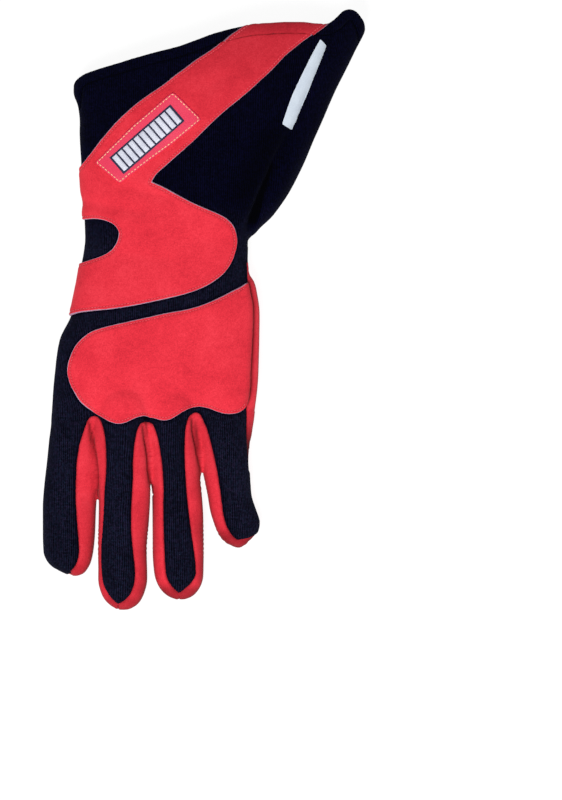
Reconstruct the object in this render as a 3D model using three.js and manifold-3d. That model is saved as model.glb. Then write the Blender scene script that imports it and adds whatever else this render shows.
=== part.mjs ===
// Racing glove, left hand: a long-cuffed gauntlet of dark knit with red suede palm,
// finger sides and back patches. It lies on its palm, with the thumb folded under it.
// Millimetres, +Z up, the floor at z = 0, fingers toward -Y, cuff mouth toward +Y.
import * as THREE from 'three';
import { mergeVertices } from 'three/addons/utils/BufferGeometryUtils.js';
import Module from 'manifold-3d';

const wasm = await Module();
wasm.setup();

// ---- driving dimensions (mm) ----
const WALL = 2.0;          // knit or suede wall
const HEM_WALL = 3.2;      // folded edge of the cuff
const GAP = 0.3;           // clearance between pieces
const PATCH = 1.2;         // suede patch sewn on a wall
const BADGE = 0.9;         // woven badge on the cuff band
const TAG = 0.7;           // blank tape label
const BACK_ROUND = 2.3;    // fullness of the upper half of a section
const REST_ROUND = 3.2;    // fullness of the lower half, flatter where it rests
const EDGE_HEIGHT = 0.46;  // height of a section's widest line, as a share of its height
const HAND_SIDES = 20;     // facets round the hand and cuff
const FINGER_SIDES = 12;   // facets round a finger
const SMOOTH = 0.1;       // facets flatter than this are joined
const FAR = 100;           // beyond the glove's outline

// Sections of the hand and cuff, from the mouth to the finger roots. l and r are the
// thumb-side and little-finger-side edges; zb and zt the underside and the back there;
// bow is how far the middle of the section runs ahead of its edges, lean the same of its top.
const HAND = [
  { name: 'mouth',      xl: -69.6, yl: 120.2, xr: 85.6, yr: 154.6, zbl: 0,    zbr: 0,   ztl: 27,   ztr: 33,   bow: 8.2, lean: 0 },
  { name: 'hem_line',   xl: -69.8, yl: 113.8, xr: 84.6, yr: 147.6, zbl: 0,    zbr: 0,   ztl: 27,   ztr: 33,   bow: 8.0, lean: 0 },
  { name: 'cuff_flare', xl: -67.6, yl: 106.4, xr: 78.6, yr: 135.4, zbl: 0,    zbr: 0,   ztl: 26.8, ztr: 32.6, bow: 6.8, lean: 0 },
  { name: 'cuff_wide',  xl: -66.5, yl: 96.5,  xr: 70.0, yr: 117.6, zbl: 0,    zbr: 0,   ztl: 26.5, ztr: 32,   bow: 5.6, lean: 0 },
  { name: 'cuff_mid',   xl: -66.2, yl: 85.1,  xr: 59.1, yr: 92.5,  zbl: 0,    zbr: 0,   ztl: 26,   ztr: 31,   bow: 3.6, lean: 0 },
  { name: 'cuff_low',   xl: -65.7, yl: 69.7,  xr: 47.4, yr: 67.0,  zbl: 0,    zbr: 0,   ztl: 25.5, ztr: 29,   bow: 1.8, lean: 0 },
  { name: 'cuff_neck',  xl: -64.7, yl: 53.8,  xr: 33.7, yr: 47.4,  zbl: 0,    zbr: 0,   ztl: 25.5, ztr: 27,   bow: 0,   lean: 0 },
  { name: 'wrist',      xl: -63.6, yl: 37.9,  xr: 23.1, yr: 33.7,  zbl: 0.4,  zbr: 0.4, ztl: 26,   ztr: 25,   bow: 0,   lean: 0 },
  { name: 'gather',     xl: -65.2, yl: 25.2,  xr: 22.0, yr: 24.1,  zbl: 0.8,  zbr: 0.5, ztl: 27,   ztr: 25,   bow: 0,   lean: 0 },
  { name: 'heel',       xl: -68.1, yl: 11.4,  xr: 26.2, yr: 11.4,  zbl: 3.0,  zbr: 1.6, ztl: 29.5, ztr: 25.5, bow: 0,   lean: 0 },
  { name: 'thumb_root', xl: -71.3, yl: -3.4,  xr: 28.6, yr: -3.4,  zbl: 7.0,  zbr: 1.8, ztl: 32.5, ztr: 25.5, bow: 0,   lean: 0 },
  { name: 'thumb_side', xl: -77.1, yl: -17.2, xr: 28.4, yr: -17.2, zbl: 12.5, zbr: 1.8, ztl: 35,   ztr: 25.5, bow: 0,   lean: 0 },
  { name: 'palm',       xl: -79.0, yl: -32.1, xr: 28.1, yr: -32.1, zbl: 17.6, zbr: 1.8, ztl: 36.5, ztr: 25.5, bow: 0,   lean: 0 },
  { name: 'metacarpal', xl: -80.3, yl: -44.8, xr: 27.3, yr: -44.8, zbl: 18.0, zbr: 1.8, ztl: 36.5, ztr: 24.5, bow: 0,   lean: 1 },
  { name: 'knuckles',   xl: -81.4, yl: -57.5, xr: 25.7, yr: -57.5, zbl: 17.6, zbr: 1.8, ztl: 35.5, ztr: 23.0, bow: 0,   lean: 4 },
  { name: 'web',        xl: -81.4, yl: -71.8, xr: 23.6, yr: -71.8, zbl: 16.8, zbr: 2.2, ztl: 32.5, ztr: 21.5, bow: 0,   lean: 14 },
];

// Sections of each digit, from its root to its tip. bl and br bound the knit back of the
// finger, fl and fr the suede front; the strip between them is the finger's side.
const DIGITS = {
  index: [
    { y: -38.0,  xl: -74.0, xr: -60.0, zb: 21.0, zt: 30.0, bl: -FAR, br: -61.7, fl: -75.6, fr: -59.4 },
    { y: -51.0,  xl: -80.6, xr: -56.6, zb: 18.6, zt: 33.9, bl: -FAR, br: -61.9, fl: -75.8, fr: -59.4 },
    { y: -64.9,  xl: -81.9, xr: -55.9, zb: 17.4, zt: 33.0, bl: -FAR, br: -62.8, fl: -76.4, fr: -59.6 },
    { y: -80.8,  xl: -83.5, xr: -56.0, zb: 14.6, zt: 29.5, bl: -FAR, br: -67.0, fl: -77.1, fr: -60.2 },
    { y: -94.0,  xl: -85.2, xr: -56.7, zb: 10.4, zt: 26.0, bl: -FAR, br: -68.1, fl: -78.3, fr: -60.6 },
    { y: -105.0, xl: -85.6, xr: -57.6, zb: 6.2,  zt: 23.2, bl: -FAR, br: -68.1, fl: -78.7, fr: -61.2 },
    { y: -117.9, xl: -85.6, xr: -58.8, zb: 2.6,  zt: 20.0, bl: -FAR, br: -67.6, fl: -79.0, fr: -61.7 },
    { y: -129.6, xl: -85.1, xr: -59.6, zb: 0.8,  zt: 17.2, bl: -FAR, br: -67.2, fl: -79.0, fr: -62.3 },
    { y: -135.9, xl: -81.9, xr: -62.0, zb: 0.9,  zt: 14.8, bl: -FAR, br: -68.6, fl: -77.6, fr: -64.0 },
    { y: -140.2, xl: -77.1, xr: -65.6, zb: 2.4,  zt: 11.6, bl: -FAR, br: -71.4, fl: -74.0, fr: -67.0 },
  ],
  middle: [
    { y: -38.0,  xl: -52.0, xr: -34.0, zb: 19.0, zt: 30.0, bl: -55.4, br: -32.1, fl: -54.2, fr: -32.8 },
    { y: -51.0,  xl: -57.2, xr: -29.6, zb: 16.8, zt: 33.8, bl: -55.3, br: -32.4, fl: -54.1, fr: -32.9 },
    { y: -64.9,  xl: -57.6, xr: -28.9, zb: 16.2, zt: 33.2, bl: -54.1, br: -34.7, fl: -53.6, fr: -33.4 },
    { y: -80.8,  xl: -57.2, xr: -28.7, zb: 15.4, zt: 31.8, bl: -52.7, br: -37.4, fl: -53.0, fr: -33.6 },
    { y: -96.7,  xl: -56.6, xr: -28.9, zb: 14.0, zt: 30.4, bl: -53.8, br: -37.9, fl: -52.6, fr: -34.0 },
    { y: -112.6, xl: -56.4, xr: -30.5, zb: 11.6, zt: 28.0, bl: -54.4, br: -39.0, fl: -52.4, fr: -35.2 },
    { y: -128.5, xl: -56.4, xr: -31.5, zb: 6.2,  zt: 23.2, bl: -54.6, br: -39.0, fl: -52.4, fr: -36.0 },
    { y: -144.4, xl: -56.2, xr: -31.0, zb: 1.8,  zt: 18.2, bl: -54.4, br: -37.6, fl: -52.0, fr: -36.0 },
    { y: -151.8, xl: -54.0, xr: -33.1, zb: 1.0,  zt: 15.2, bl: -52.2, br: -39.4, fl: -50.4, fr: -37.4 },
    { y: -156.6, xl: -49.6, xr: -37.4, zb: 2.6,  zt: 12.0, bl: -48.4, br: -44.6, fl: -47.4, fr: -40.4 },
  ],
  ring: [
    { y: -38.0,  xl: -24.0, xr: -8.0,  zb: 12.0, zt: 26.0, bl: -27.8, br: -6.6,  fl: -26.4, fr: -7.4 },
    { y: -51.0,  xl: -30.0, xr: -3.6,  zb: 9.9,  zt: 30.4, bl: -27.7, br: -6.9,  fl: -26.3, fr: -7.4 },
    { y: -64.9,  xl: -30.2, xr: -3.2,  zb: 8.6,  zt: 29.2, bl: -26.8, br: -9.0,  fl: -25.6, fr: -7.8 },
    { y: -80.8,  xl: -29.4, xr: -2.6,  zb: 6.6,  zt: 26.2, bl: -23.9, br: -10.3, fl: -24.6, fr: -7.4 },
    { y: -94.6,  xl: -28.1, xr: -1.9,  zb: 4.2,  zt: 23.0, bl: -22.9, br: -9.3,  fl: -23.8, fr: -6.6 },
    { y: -112.6, xl: -27.3, xr: -0.8,  zb: 1.6,  zt: 19.4, bl: -22.7, br: -7.2,  fl: -22.6, fr: -5.6 },
    { y: -128.5, xl: -27.3, xr: -0.8,  zb: 0.5,  zt: 17.4, bl: -22.5, br: -5.8,  fl: -22.4, fr: -5.4 },
    { y: -141.8, xl: -26.2, xr: -1.3,  zb: 0.5,  zt: 16.0, bl: -21.7, br: -5.0,  fl: -21.6, fr: -6.0 },
    { y: -148.4, xl: -23.4, xr: -3.9,  zb: 1.3,  zt: 13.6, bl: -18.2, br: -8.8,  fl: -19.6, fr: -7.8 },
    { y: -152.6, xl: -18.4, xr: -8.4,  zb: 2.8,  zt: 10.8, bl: -15.1, br: -11.6, fl: -16.4, fr: -10.6 },
  ],
  little: [
    { y: -36.0,  xl: 0.0,   xr: 21.0,  zb: 6.0,  zt: 20.0, bl: -2.4,  br: 23.1,  fl: -0.4,  fr: FAR },
    { y: -48.0,  xl: -4.4,  xr: 25.2,  zb: 3.4,  zt: 23.4, bl: -2.2,  br: 23.1,  fl: -0.4,  fr: FAR },
    { y: -59.6,  xl: -4.8,  xr: 24.8,  zb: 2.8,  zt: 22.4, bl: -0.5,  br: 23.1,  fl: -0.2,  fr: FAR },
    { y: -72.9,  xl: -4.0,  xr: 23.7,  zb: 2.2,  zt: 20.4, bl: 3.2,   br: 23.4,  fl: 0.8,   fr: FAR },
    { y: -86.1,  xl: -1.9,  xr: 23.3,  zb: 1.8,  zt: 18.6, bl: 6.1,   br: FAR,   fl: 3.2,   fr: FAR },
    { y: -99.4,  xl: 0.8,   xr: 24.4,  zb: 0.9,  zt: 16.8, bl: 8.2,   br: FAR,   fl: 5.8,   fr: FAR },
    { y: -110.0, xl: 3.2,   xr: 27.0,  zb: 0.2,  zt: 15.6, bl: 9.5,   br: FAR,   fl: 8.0,   fr: FAR },
    { y: -117.9, xl: 6.4,   xr: 28.1,  zb: 0.4,  zt: 14.2, bl: 11.4,  br: FAR,   fl: 10.6,  fr: FAR },
    { y: -123.0, xl: 10.4,  xr: 25.6,  zb: 1.2,  zt: 12.0, bl: 15.0,  br: 22.6,  fl: 13.8,  fr: FAR },
    { y: -126.6, xl: 14.6,  xr: 21.6,  zb: 2.6,  zt: 9.4,  bl: 17.2,  br: 19.3,  fl: 16.4,  fr: FAR },
  ],
};

// The thumb lies under the palm: zl and zr are the top at its two edges, under the hand's slope.
const THUMB = [
  { y: 12.0,   xl: -60.0, xr: -34.0, zb: 5.0, zl: 12.0, zr: 10.0 },
  { y: 2.0,    xl: -66.0, xr: -30.0, zb: 2.4, zl: 12.8, zr: 10.0 },
  { y: -8.0,   xl: -71.5, xr: -28.0, zb: 1.6, zl: 14.2, zr: 9.6 },
  { y: -20.0,  xl: -76.0, xr: -26.4, zb: 1.6, zl: 15.4, zr: 8.6 },
  { y: -34.2,  xl: -78.0, xr: -25.4, zb: 1.6, zl: 15.8, zr: 8.0 },
  { y: -50.1,  xl: -77.6, xr: -26.2, zb: 1.6, zl: 15.4, zr: 8.0 },
  { y: -66.0,  xl: -73.6, xr: -27.8, zb: 1.6, zl: 14.8, zr: 8.8 },
  { y: -80.8,  xl: -67.4, xr: -28.0, zb: 1.6, zl: 13.8, zr: 10.4 },
  { y: -92.5,  xl: -61.2, xr: -28.4, zb: 1.6, zl: 12.6, zr: 11.8 },
  { y: -102.0, xl: -55.4, xr: -30.6, zb: 1.6, zl: 11.8, zr: 11.8 },
  { y: -109.0, xl: -51.6, xr: -33.7, zb: 2.0, zl: 10.8, zr: 10.8 },
  { y: -113.7, xl: -47.4, xr: -37.4, zb: 3.0, zl: 9.0,  zr: 9.0 },
];

// Crotch of each finger pair: on the back, and further down the fingers on the palm.
const CROTCHES = [
  { between: ['index', 'middle'], x: -56.8, back: -58.0, palm: -90.0 },
  { between: ['middle', 'ring'],  x: -29.4, back: -60.5, palm: -91.0 },
  { between: ['ring', 'little'],  x: -3.4,  back: -54.6, palm: -84.0 },
];

// Outlines seen from above, edge by edge.
const BACK_BAND = [        // S-shaped hand patch running into the cuff band
  { y: 162.0, left: 27.0,  right: 77.0 },
  { y: 154.0, left: 21.0,  right: 68.5 },
  { y: 142.5, left: 10.0,  right: 54.0 },
  { y: 131.7, left: -1.3,  right: 41.6 },
  { y: 123.2, left: -13.0, right: 32.0 },
  { y: 110.0, left: -33.7, right: 16.7 },
  { y: 97.0,  left: -48.2, right: 3.0 },
  { y: 84.0,  left: -59.1, right: -11.0 },
  { y: 75.5,  left: -66.0, right: -21.0 },
  { y: 67.0,  left: -FAR,  right: -28.1 },
  { y: 59.4,  left: -FAR,  right: -13.0 },
  { y: 53.3,  left: -FAR,  right: -1.3 },
  { y: 47.2,  left: -66.0, right: 11.0 },
  { y: 44.0,  left: -49.4, right: 14.2 },
  { y: 37.0,  left: -45.6, right: 16.6 },
  { y: 30.6,  left: -49.6, right: 16.6 },
  { y: 27.0,  left: -56.0, right: 15.9 },
  { y: 23.8,  left: -FAR,  right: 14.6 },
  { y: 15.1,  left: -FAR,  right: 11.2 },
  { y: 8.2,   left: -FAR,  right: 5.4 },
  { y: 3.7,   left: -FAR,  right: -2.4 },
  { y: 0.0,   left: -FAR,  right: -18.0 },
  { y: -3.4,  left: -FAR,  right: -42.1 },
  { y: -5.8,  left: -FAR,  right: -66.0 },
];
const BAND_UNDER = [       // where that patch turns round the thumb-side edge
  { y: 24.0,  left: -FAR, right: -60.0 },
  { y: -7.0,  left: -FAR, right: -64.0 },
];
const KNUCKLES = [         // knuckle patch, scalloped between the fingers
  { x: -71.6, top: -28.5, bottom: -37.0 },
  { x: -69.7, top: -22.5, bottom: -43.0 },
  { x: -65.5, top: -16.8, bottom: -50.1 },
  { x: -57.5, top: -12.0, bottom: -56.4 },
  { x: -49.6, top: -9.0,  bottom: -61.2 },
  { x: -45.8, top: -8.0,  bottom: -61.8 },
  { x: -39.0, top: -6.2,  bottom: -59.4 },
  { x: -30.5, top: -4.0,  bottom: -56.0 },
  { x: -25.7, top: -2.9,  bottom: -57.8 },
  { x: -20.9, top: -1.9,  bottom: -60.4 },
  { x: -14.0, top: -0.9,  bottom: -59.6 },
  { x: -6.6,  top: 0.6,   bottom: -54.4 },
  { x: -2.4,  top: 1.8,   bottom: -52.8 },
  { x: 6.1,   top: 4.8,   bottom: -55.3 },
  { x: 13.0,  top: 8.2,   bottom: -56.8 },
  { x: 19.3,  top: 11.6,  bottom: -54.8 },
  { x: 22.3,  top: 13.3,  bottom: -51.7 },
];
const PALM_PAD = [         // dark quilted pad on the little-finger half of the palm
  { x: -36.0, top: -8.0,  bottom: -66.0 },
  { x: -30.0, top: 5.6,   bottom: -76.0 },
  { x: -25.6, top: 7.2,   bottom: -90.0 },
  { x: -20.4, top: 8.0,   bottom: -97.0 },
  { x: -16.2, top: 7.2,   bottom: -95.6 },
  { x: -12.5, top: 6.6,   bottom: -85.0 },
  { x: -8.2,  top: 6.2,   bottom: -80.0 },
  { x: -4.5,  top: 5.2,   bottom: -79.0 },
  { x: -1.3,  top: 3.4,   bottom: -80.0 },
  { x: 3.2,   top: -0.8,  bottom: -88.6 },
  { x: 7.6,   top: -6.6,  bottom: -88.4 },
  { x: 11.6,  top: -17.0, bottom: -84.0 },
  { x: 13.4,  top: -28.0, bottom: -74.0 },
];
const THUMB_PAD = [        // red patch on the thumb, ending at its outer edge
  { y: -41.0,  left: -51.0, right: -47.0 },
  { y: -43.4,  left: -61.0, right: -44.6 },
  { y: -49.0,  left: -72.0, right: -41.6 },
  { y: -54.3,  left: -FAR,  right: -42.1 },
  { y: -61.7,  left: -FAR,  right: -47.4 },
  { y: -69.2,  left: -FAR,  right: -53.3 },
  { y: -75.4,  left: -FAR,  right: -55.6 },
  { y: -79.4,  left: -FAR,  right: -51.0 },
  { y: -81.4,  left: -FAR,  right: -34.4 },
  { y: -86.0,  left: -FAR,  right: -29.6 },
  { y: -93.0,  left: -FAR,  right: -28.6 },
  { y: -98.6,  left: -FAR,  right: -31.6 },
  { y: -102.6, left: -FAR,  right: -40.0 },
  { y: -105.0, left: -FAR,  right: -52.0 },
];
const CROTCH_PAD = [       // dark patch at the root of the index finger
  { y: -53.0, left: -70.5, right: -66.0 },
  { y: -57.0, left: -73.6, right: -63.0 },
  { y: -66.0, left: -74.6, right: -61.6 },
  { y: -76.0, left: -74.4, right: -61.6 },
  { y: -86.0, left: -73.0, right: -62.0 },
  { y: -92.0, left: -70.4, right: -62.6 },
  { y: -95.6, left: -67.4, right: -64.2 },
];
const PALM_EDGE = [        // palm suede turned up on to the little-finger side of the back
  { y: 22.0,  left: 30.0, right: FAR },
  { y: 13.0,  left: 22.9, right: FAR },
  { y: -30.0, left: 23.1, right: FAR },
  { y: -66.0, left: 23.2, right: FAR },
  { y: -79.0, left: 26.0, right: FAR },
];
const KNIT_EDGE = [        // back knit turned under on the thumb side of the hand
  { y: 30.0,  left: -FAR, right: -61.0 },
  { y: -16.0, left: -FAR, right: -70.0 },
  { y: -34.0, left: -FAR, right: -73.4 },
  { y: -50.0, left: -FAR, right: -75.6 },
];
const HEEL = [             // knit heel of the palm, in one with the thumb
  { y: 46.0,  left: -FAR, right: -38.5 },
  { y: 19.3,  left: -FAR, right: -39.0 },
  { y: 3.4,   left: -FAR, right: -41.6 },
  { y: -7.2,  left: -FAR, right: -40.5 },
  { y: -17.8, left: -FAR, right: -36.8 },
  { y: -31.0, left: -FAR, right: -33.7 },
  { y: -34.0, left: -FAR, right: -38.0 },
  { y: -40.0, left: -FAR, right: -52.0 },
  { y: -46.0, left: -FAR, right: -66.0 },
  { y: -51.0, left: -FAR, right: -76.0 },
];
const CUFF_SEAM = [        // underside of the cuff turned up on the little-finger side
  { y: 20.0,  left: 19.0, right: 150 },
  { y: 33.1,  left: 22.0, right: 150 },
  { y: 94.1,  left: 42.0, right: 150 },
  { y: 165.0, left: 77.0, right: 150 },
];
const WRIST_SEAM = { xl: -66.0, yl: 17.2, xr: 23.0, yr: 32.0 };
const BADGE_AT = { x: -30.3, y: 88.8, length: 54.0, width: 17.6, turn: 40.2, corner: 2.0 };
const TAG_AT = { x: 53.6, y: 117.0, length: 48.5, width: 6.4, turn: 66.8, corner: 0.6 };

// ---- closed forms ----
const lerp = THREE.MathUtils.lerp;
const arc = (value, fullness) => Math.sign(value) * Math.abs(value) ** (2 / fullness);

function solid(geometry) {
  const plain = geometry.clone();
  for (const name of Object.keys(plain.attributes)) if (name !== 'position') plain.deleteAttribute(name);
  const merged = mergeVertices(plain, 1e-4);
  return new wasm.Manifold(new wasm.Mesh({
    numProp: 3,
    vertProperties: new Float32Array(merged.attributes.position.array),
    triVerts: new Uint32Array(merged.index.array),
  }));
}

// A skin through rings of points, closed at both ends.
function loft(rings) {
  const count = rings[0].length;
  const points = rings.flat().map((p) => p.clone());
  const ends = [rings[0], rings[rings.length - 1]].map((ring) => {
    const middle = new THREE.Vector3();
    ring.forEach((p) => middle.add(p));
    points.push(middle.divideScalar(count));
    return points.length - 1;
  });
  const faces = [];
  for (let r = 0; r < rings.length - 1; r += 1) {
    for (let i = 0; i < count; i += 1) {
      const a = r * count + i;
      const b = r * count + ((i + 1) % count);
      faces.push(a, b, b + count, a, b + count, a + count);
    }
  }
  for (let i = 0; i < count; i += 1) {
    const j = (i + 1) % count;
    const last = (rings.length - 1) * count;
    faces.push(ends[0], j, i, ends[1], last + i, last + j);
  }
  let volume = 0;
  for (let f = 0; f < faces.length; f += 3) {
    const [a, b, c] = [points[faces[f]], points[faces[f + 1]], points[faces[f + 2]]];
    volume += a.dot(new THREE.Vector3().crossVectors(b, c));
  }
  if (volume < 0) faces.reverse();
  const geometry = new THREE.BufferGeometry().setFromPoints(points);
  geometry.setIndex(faces);
  return solid(geometry);
}

// One section, grown by `grow` all round.
function ring(row, grow, sides, ahead = 0) {
  const left = new THREE.Vector2(row.xl, row.yl);
  const right = new THREE.Vector2(row.xr, row.yr);
  const along = right.clone().sub(left).normalize();
  const across = new THREE.Vector2(-along.y, along.x);
  left.addScaledVector(along, -grow);
  right.addScaledVector(along, grow);
  return Array.from({ length: sides }, (_, i) => {
    const turn = (2 * Math.PI * i) / sides;
    const fullness = Math.sin(turn) >= 0 ? BACK_ROUND : REST_ROUND;
    const u = arc(Math.cos(turn), fullness);
    const v = arc(Math.sin(turn), fullness);
    const k = (u + 1) / 2;
    const low = lerp(row.zbl, row.zbr, k) - grow;
    const high = lerp(row.ztl, row.ztr, k) + grow;
    const edge = lerp(low, high, EDGE_HEIGHT);
    const p = left.clone().lerp(right, k);
    p.addScaledVector(across, row.bow * (1 - u * u) + row.lean * v + ahead);
    return new THREE.Vector3(p.x, p.y, v >= 0 ? edge + v * (high - edge) : edge + v * (edge - low));
  });
}

function handForm(grow, rows = HAND) {
  return loft(rows.map((row, i) => {
    let ahead = 0;
    if (row.name === 'mouth' && grow < 0) ahead = 12;     // a hollow runs out of the mouth
    if (row.name === 'web') ahead = -grow;
    return ring(row, grow, HAND_SIDES, ahead);
  }));
}

const asSection = (row) => ({
  xl: row.xl, yl: row.y, xr: row.xr, yr: row.y, bow: 0, lean: 0,
  zbl: row.zb, zbr: row.zb, ztl: row.zl ?? row.zt, ztr: row.zr ?? row.zt,
});

function digitForm(rows, grow) {
  return loft(rows.map((row, i) => ring(asSection(row), grow, FINGER_SIDES, i === rows.length - 1 ? -grow : 0)));
}

const forms = new Map();
function form(grow) {          // the hand with its four fingers
  if (!forms.has(grow)) {
    forms.set(grow, Object.values(DIGITS).reduce((sum, rows) => sum.add(digitForm(rows, grow)), handForm(grow)));
  }
  return forms.get(grow);
}
const thumbForm = (grow) => digitForm(THUMB, grow);

// ---- cutting shapes ----
function smooth(points, per = 3) {
  const curve = new THREE.SplineCurve(points);
  return points.length < 4 ? points : curve.getPoints(points.length * per);
}

function prism(points, low = -20, high = 90) {
  const depth = new THREE.ExtrudeGeometry(new THREE.Shape(points), { depth: high - low, bevelEnabled: false });
  return solid(depth.translate(0, 0, low));
}

// The area between the two edges of a table, grown by `grow`.
function area(rows, grow = 0, per = 1) {
  const down = 'left' in rows[0];
  const one = rows.map((r) => (down ? new THREE.Vector2(r.left - grow, r.y) : new THREE.Vector2(r.x, r.top + grow)));
  const two = rows.map((r) => (down ? new THREE.Vector2(r.right + grow, r.y) : new THREE.Vector2(r.x, r.bottom - grow)));
  const reach = (list, i, j) => {
    const step = list[i].clone().sub(list[j]);
    if (down) list[i].y += Math.sign(step.y) * grow; else list[i].x += Math.sign(step.x) * grow;
  };
  for (const list of [one, two]) { reach(list, 0, 1); reach(list, list.length - 1, list.length - 2); }
  return prism([...smooth(one, per), ...smooth(two, per).reverse()]);
}

function sample(rows, y, key) {
  if (y >= rows[0].y) return rows[0][key];
  for (let i = 1; i < rows.length; i += 1) {
    if (y >= rows[i].y) return lerp(rows[i][key], rows[i - 1][key], (y - rows[i].y) / (rows[i - 1].y - rows[i].y));
  }
  return rows[rows.length - 1][key];
}

// Everything above or below the widest line of the sections.
function half(side, shift) {
  const reach = side > 0 ? 95 : -25;
  const shares = [0, 0.16, 0.32, 0.6, 0.84, 1];
  const rings = HAND.slice(0, -2).map((row, i) => {
    const left = new THREE.Vector2(row.xl, row.yl);
    const right = new THREE.Vector2(row.xr, row.yr);
    const along = right.clone().sub(left).normalize();
    const across = new THREE.Vector2(-along.y, along.x);
    const ahead = i === 0 ? 20 : 0;
    const bottom = shares.map((k) => {
      const p = left.clone().lerp(right, k);
      if (k === 0) p.addScaledVector(along, -25);
      if (k === 1) p.addScaledVector(along, 25);
      p.addScaledVector(across, row.bow + ahead);
      return new THREE.Vector3(p.x, p.y, lerp(lerp(row.zbl, row.ztl, EDGE_HEIGHT), lerp(row.zbr, row.ztr, EDGE_HEIGHT), k) + shift);
    });
    return [...bottom, new THREE.Vector3(bottom[5].x, bottom[5].y, reach), new THREE.Vector3(bottom[0].x, bottom[0].y, reach)];
  });
  for (const y of [-62, -78, -92, -105, -118, -130, -142, -165]) {
    const across = Object.values(DIGITS).map((rows) => new THREE.Vector3(
      (sample(rows, y, 'xl') + sample(rows, y, 'xr')) / 2, y,
      lerp(sample(rows, y, 'zb'), sample(rows, y, 'zt'), EDGE_HEIGHT) + shift));
    const first = across[0].clone().setX(-112);
    const last = across[3].clone().setX(58);
    rings.push([first, ...across, last, last.clone().setZ(reach), first.clone().setZ(reach)]);
  }
  return loft(rings);
}

// Outline of the finger backs or fronts, with the crotches between them, up to the wrist.
function fingersOutline(leftKey, rightKey, notch, grow) {
  const points = [new THREE.Vector2(-FAR - grow, -40)];
  const names = Object.keys(DIGITS);
  names.forEach((name, n) => {
    const rows = DIGITS[name];
    const before = CROTCHES[n - 1];
    const after = CROTCHES[n];
    const from = before ? before[notch] : -60;
    const to = after ? after[notch] : -60;
    const lefts = rows.filter((r) => r.y < from - 4).map((r) => new THREE.Vector2(r[leftKey] - grow, r.y));
    const rights = rows.filter((r) => r.y < to - 4).map((r) => new THREE.Vector2(r[rightKey] + grow, r.y));
    const tip = rows[rows.length - 1];
    points.push(...lefts);
    if (notch === 'palm') points.push(new THREE.Vector2(lefts[lefts.length - 1].x, tip.y - 8), new THREE.Vector2(rights[rights.length - 1].x, tip.y - 8));
    points.push(...rights.reverse());
    if (after) {
      const edge = sample(rows, to - 4, rightKey) + grow;
      const next = sample(DIGITS[names[n + 1]], to - 4, leftKey) - grow;
      const wide = (next - edge) / 2;
      const middle = (next + edge) / 2;
      for (const turn of [0, 45, 90, 135, 180]) {
        const angle = THREE.MathUtils.degToRad(180 - turn);
        points.push(new THREE.Vector2(middle + wide * Math.cos(angle), to - 4 - grow + 4 * Math.sin(angle)));
      }
    }
  });
  points.push(new THREE.Vector2(FAR + grow, -40));
  const { xl, yl, xr, yr } = WRIST_SEAM;
  const slope = (yr - yl) / (xr - xl);
  points.push(new THREE.Vector2(FAR, yr + slope * (FAR - xr) + grow), new THREE.Vector2(-FAR, yl + slope * (-FAR - xl) + grow));
  return prism(points);
}

function turnedPlate({ x, y, length, width, turn, corner }) {
  const shape = new THREE.Shape();
  const [a, b] = [length / 2, width / 2];
  shape.moveTo(-a + corner, -b).lineTo(a - corner, -b).quadraticCurveTo(a, -b, a, -b + corner);
  shape.lineTo(a, b - corner).quadraticCurveTo(a, b, a - corner, b).lineTo(-a + corner, b);
  shape.quadraticCurveTo(-a, b, -a, b - corner).lineTo(-a, -b + corner).quadraticCurveTo(-a, -b, -a + corner, -b);
  const turned = shape.extractPoints(4).shape.map((p) => p.rotateAround(new THREE.Vector2(), THREE.MathUtils.degToRad(turn)).add(new THREE.Vector2(x, y)));
  return prism(turned);
}

// ---- the pieces ----
const above = half(1, GAP / 2);
const below = half(-1, -GAP / 2);
const hollow = form(-WALL);
const shell = form(0).subtract(hollow);
const backArea = fingersOutline('bl', 'br', 'back', 0);
const backAreaWide = fingersOutline('bl', 'br', 'back', GAP);
const palmArea = fingersOutline('fl', 'fr', 'palm', 0);
const palmAreaWide = fingersOutline('fl', 'fr', 'palm', GAP);
const aboveWide = half(1, -GAP / 2);
const belowOver = half(-1, 2 * GAP);
const aboveOver = half(1, -2 * GAP);

// Cuff edge: the part of the cuff between its hem line and its mouth.
const [mouth, hemLine] = HAND;
const beyond = (grow, ahead) => loft([
  ring(mouth, grow, HAND_SIDES, 14), ring(mouth, grow, HAND_SIDES), ring(hemLine, grow, HAND_SIDES, ahead)]);
const hem = handForm(0).subtract(handForm(-HEM_WALL)).intersect(beyond(15, 0));

// Wrist line: the hand's panels below it, the cuff's panels above it.
function pastWrist(shift) {
  const { xl, yl, xr, yr } = WRIST_SEAM;
  const slope = (yr - yl) / (xr - xl);
  const at = (x) => yl + slope * (x - xl) + shift;
  return prism([new THREE.Vector2(-150, at(-150)), new THREE.Vector2(150, at(150)), new THREE.Vector2(150, 230), new THREE.Vector2(-150, 230)]);
}
const cuffShell = shell.intersect(pastWrist(GAP)).subtract(beyond(15, -GAP));
const cuffPalm = cuffShell.intersect(below.add(area(CUFF_SEAM, 0, 2)));
const cuffBack = cuffShell.intersect(above).subtract(area(CUFF_SEAM, GAP, 2));

const handShell = shell.subtract(pastWrist(0));
const knitEdge = area(KNIT_EDGE).add(prism(edgeStrip(0)));
const knitEdgeWide = area(KNIT_EDGE, GAP).add(prism(edgeStrip(GAP)));
function edgeStrip(grow) {     // outer side of the index finger, turned under
  const rows = DIGITS.index.filter((r) => r.y < -50);
  return [
    new THREE.Vector2(-FAR - grow, -48), ...rows.map((r) => new THREE.Vector2(-FAR - grow, r.y)),
    ...rows.map((r) => new THREE.Vector2(r.fl + grow, r.y)).reverse(), new THREE.Vector2(-75.6 + grow, -48),
  ];
}
const thumbHole = thumbForm(GAP);
const heelRegion = below.intersect(area(HEEL)).subtract(knitEdgeWide);

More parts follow.
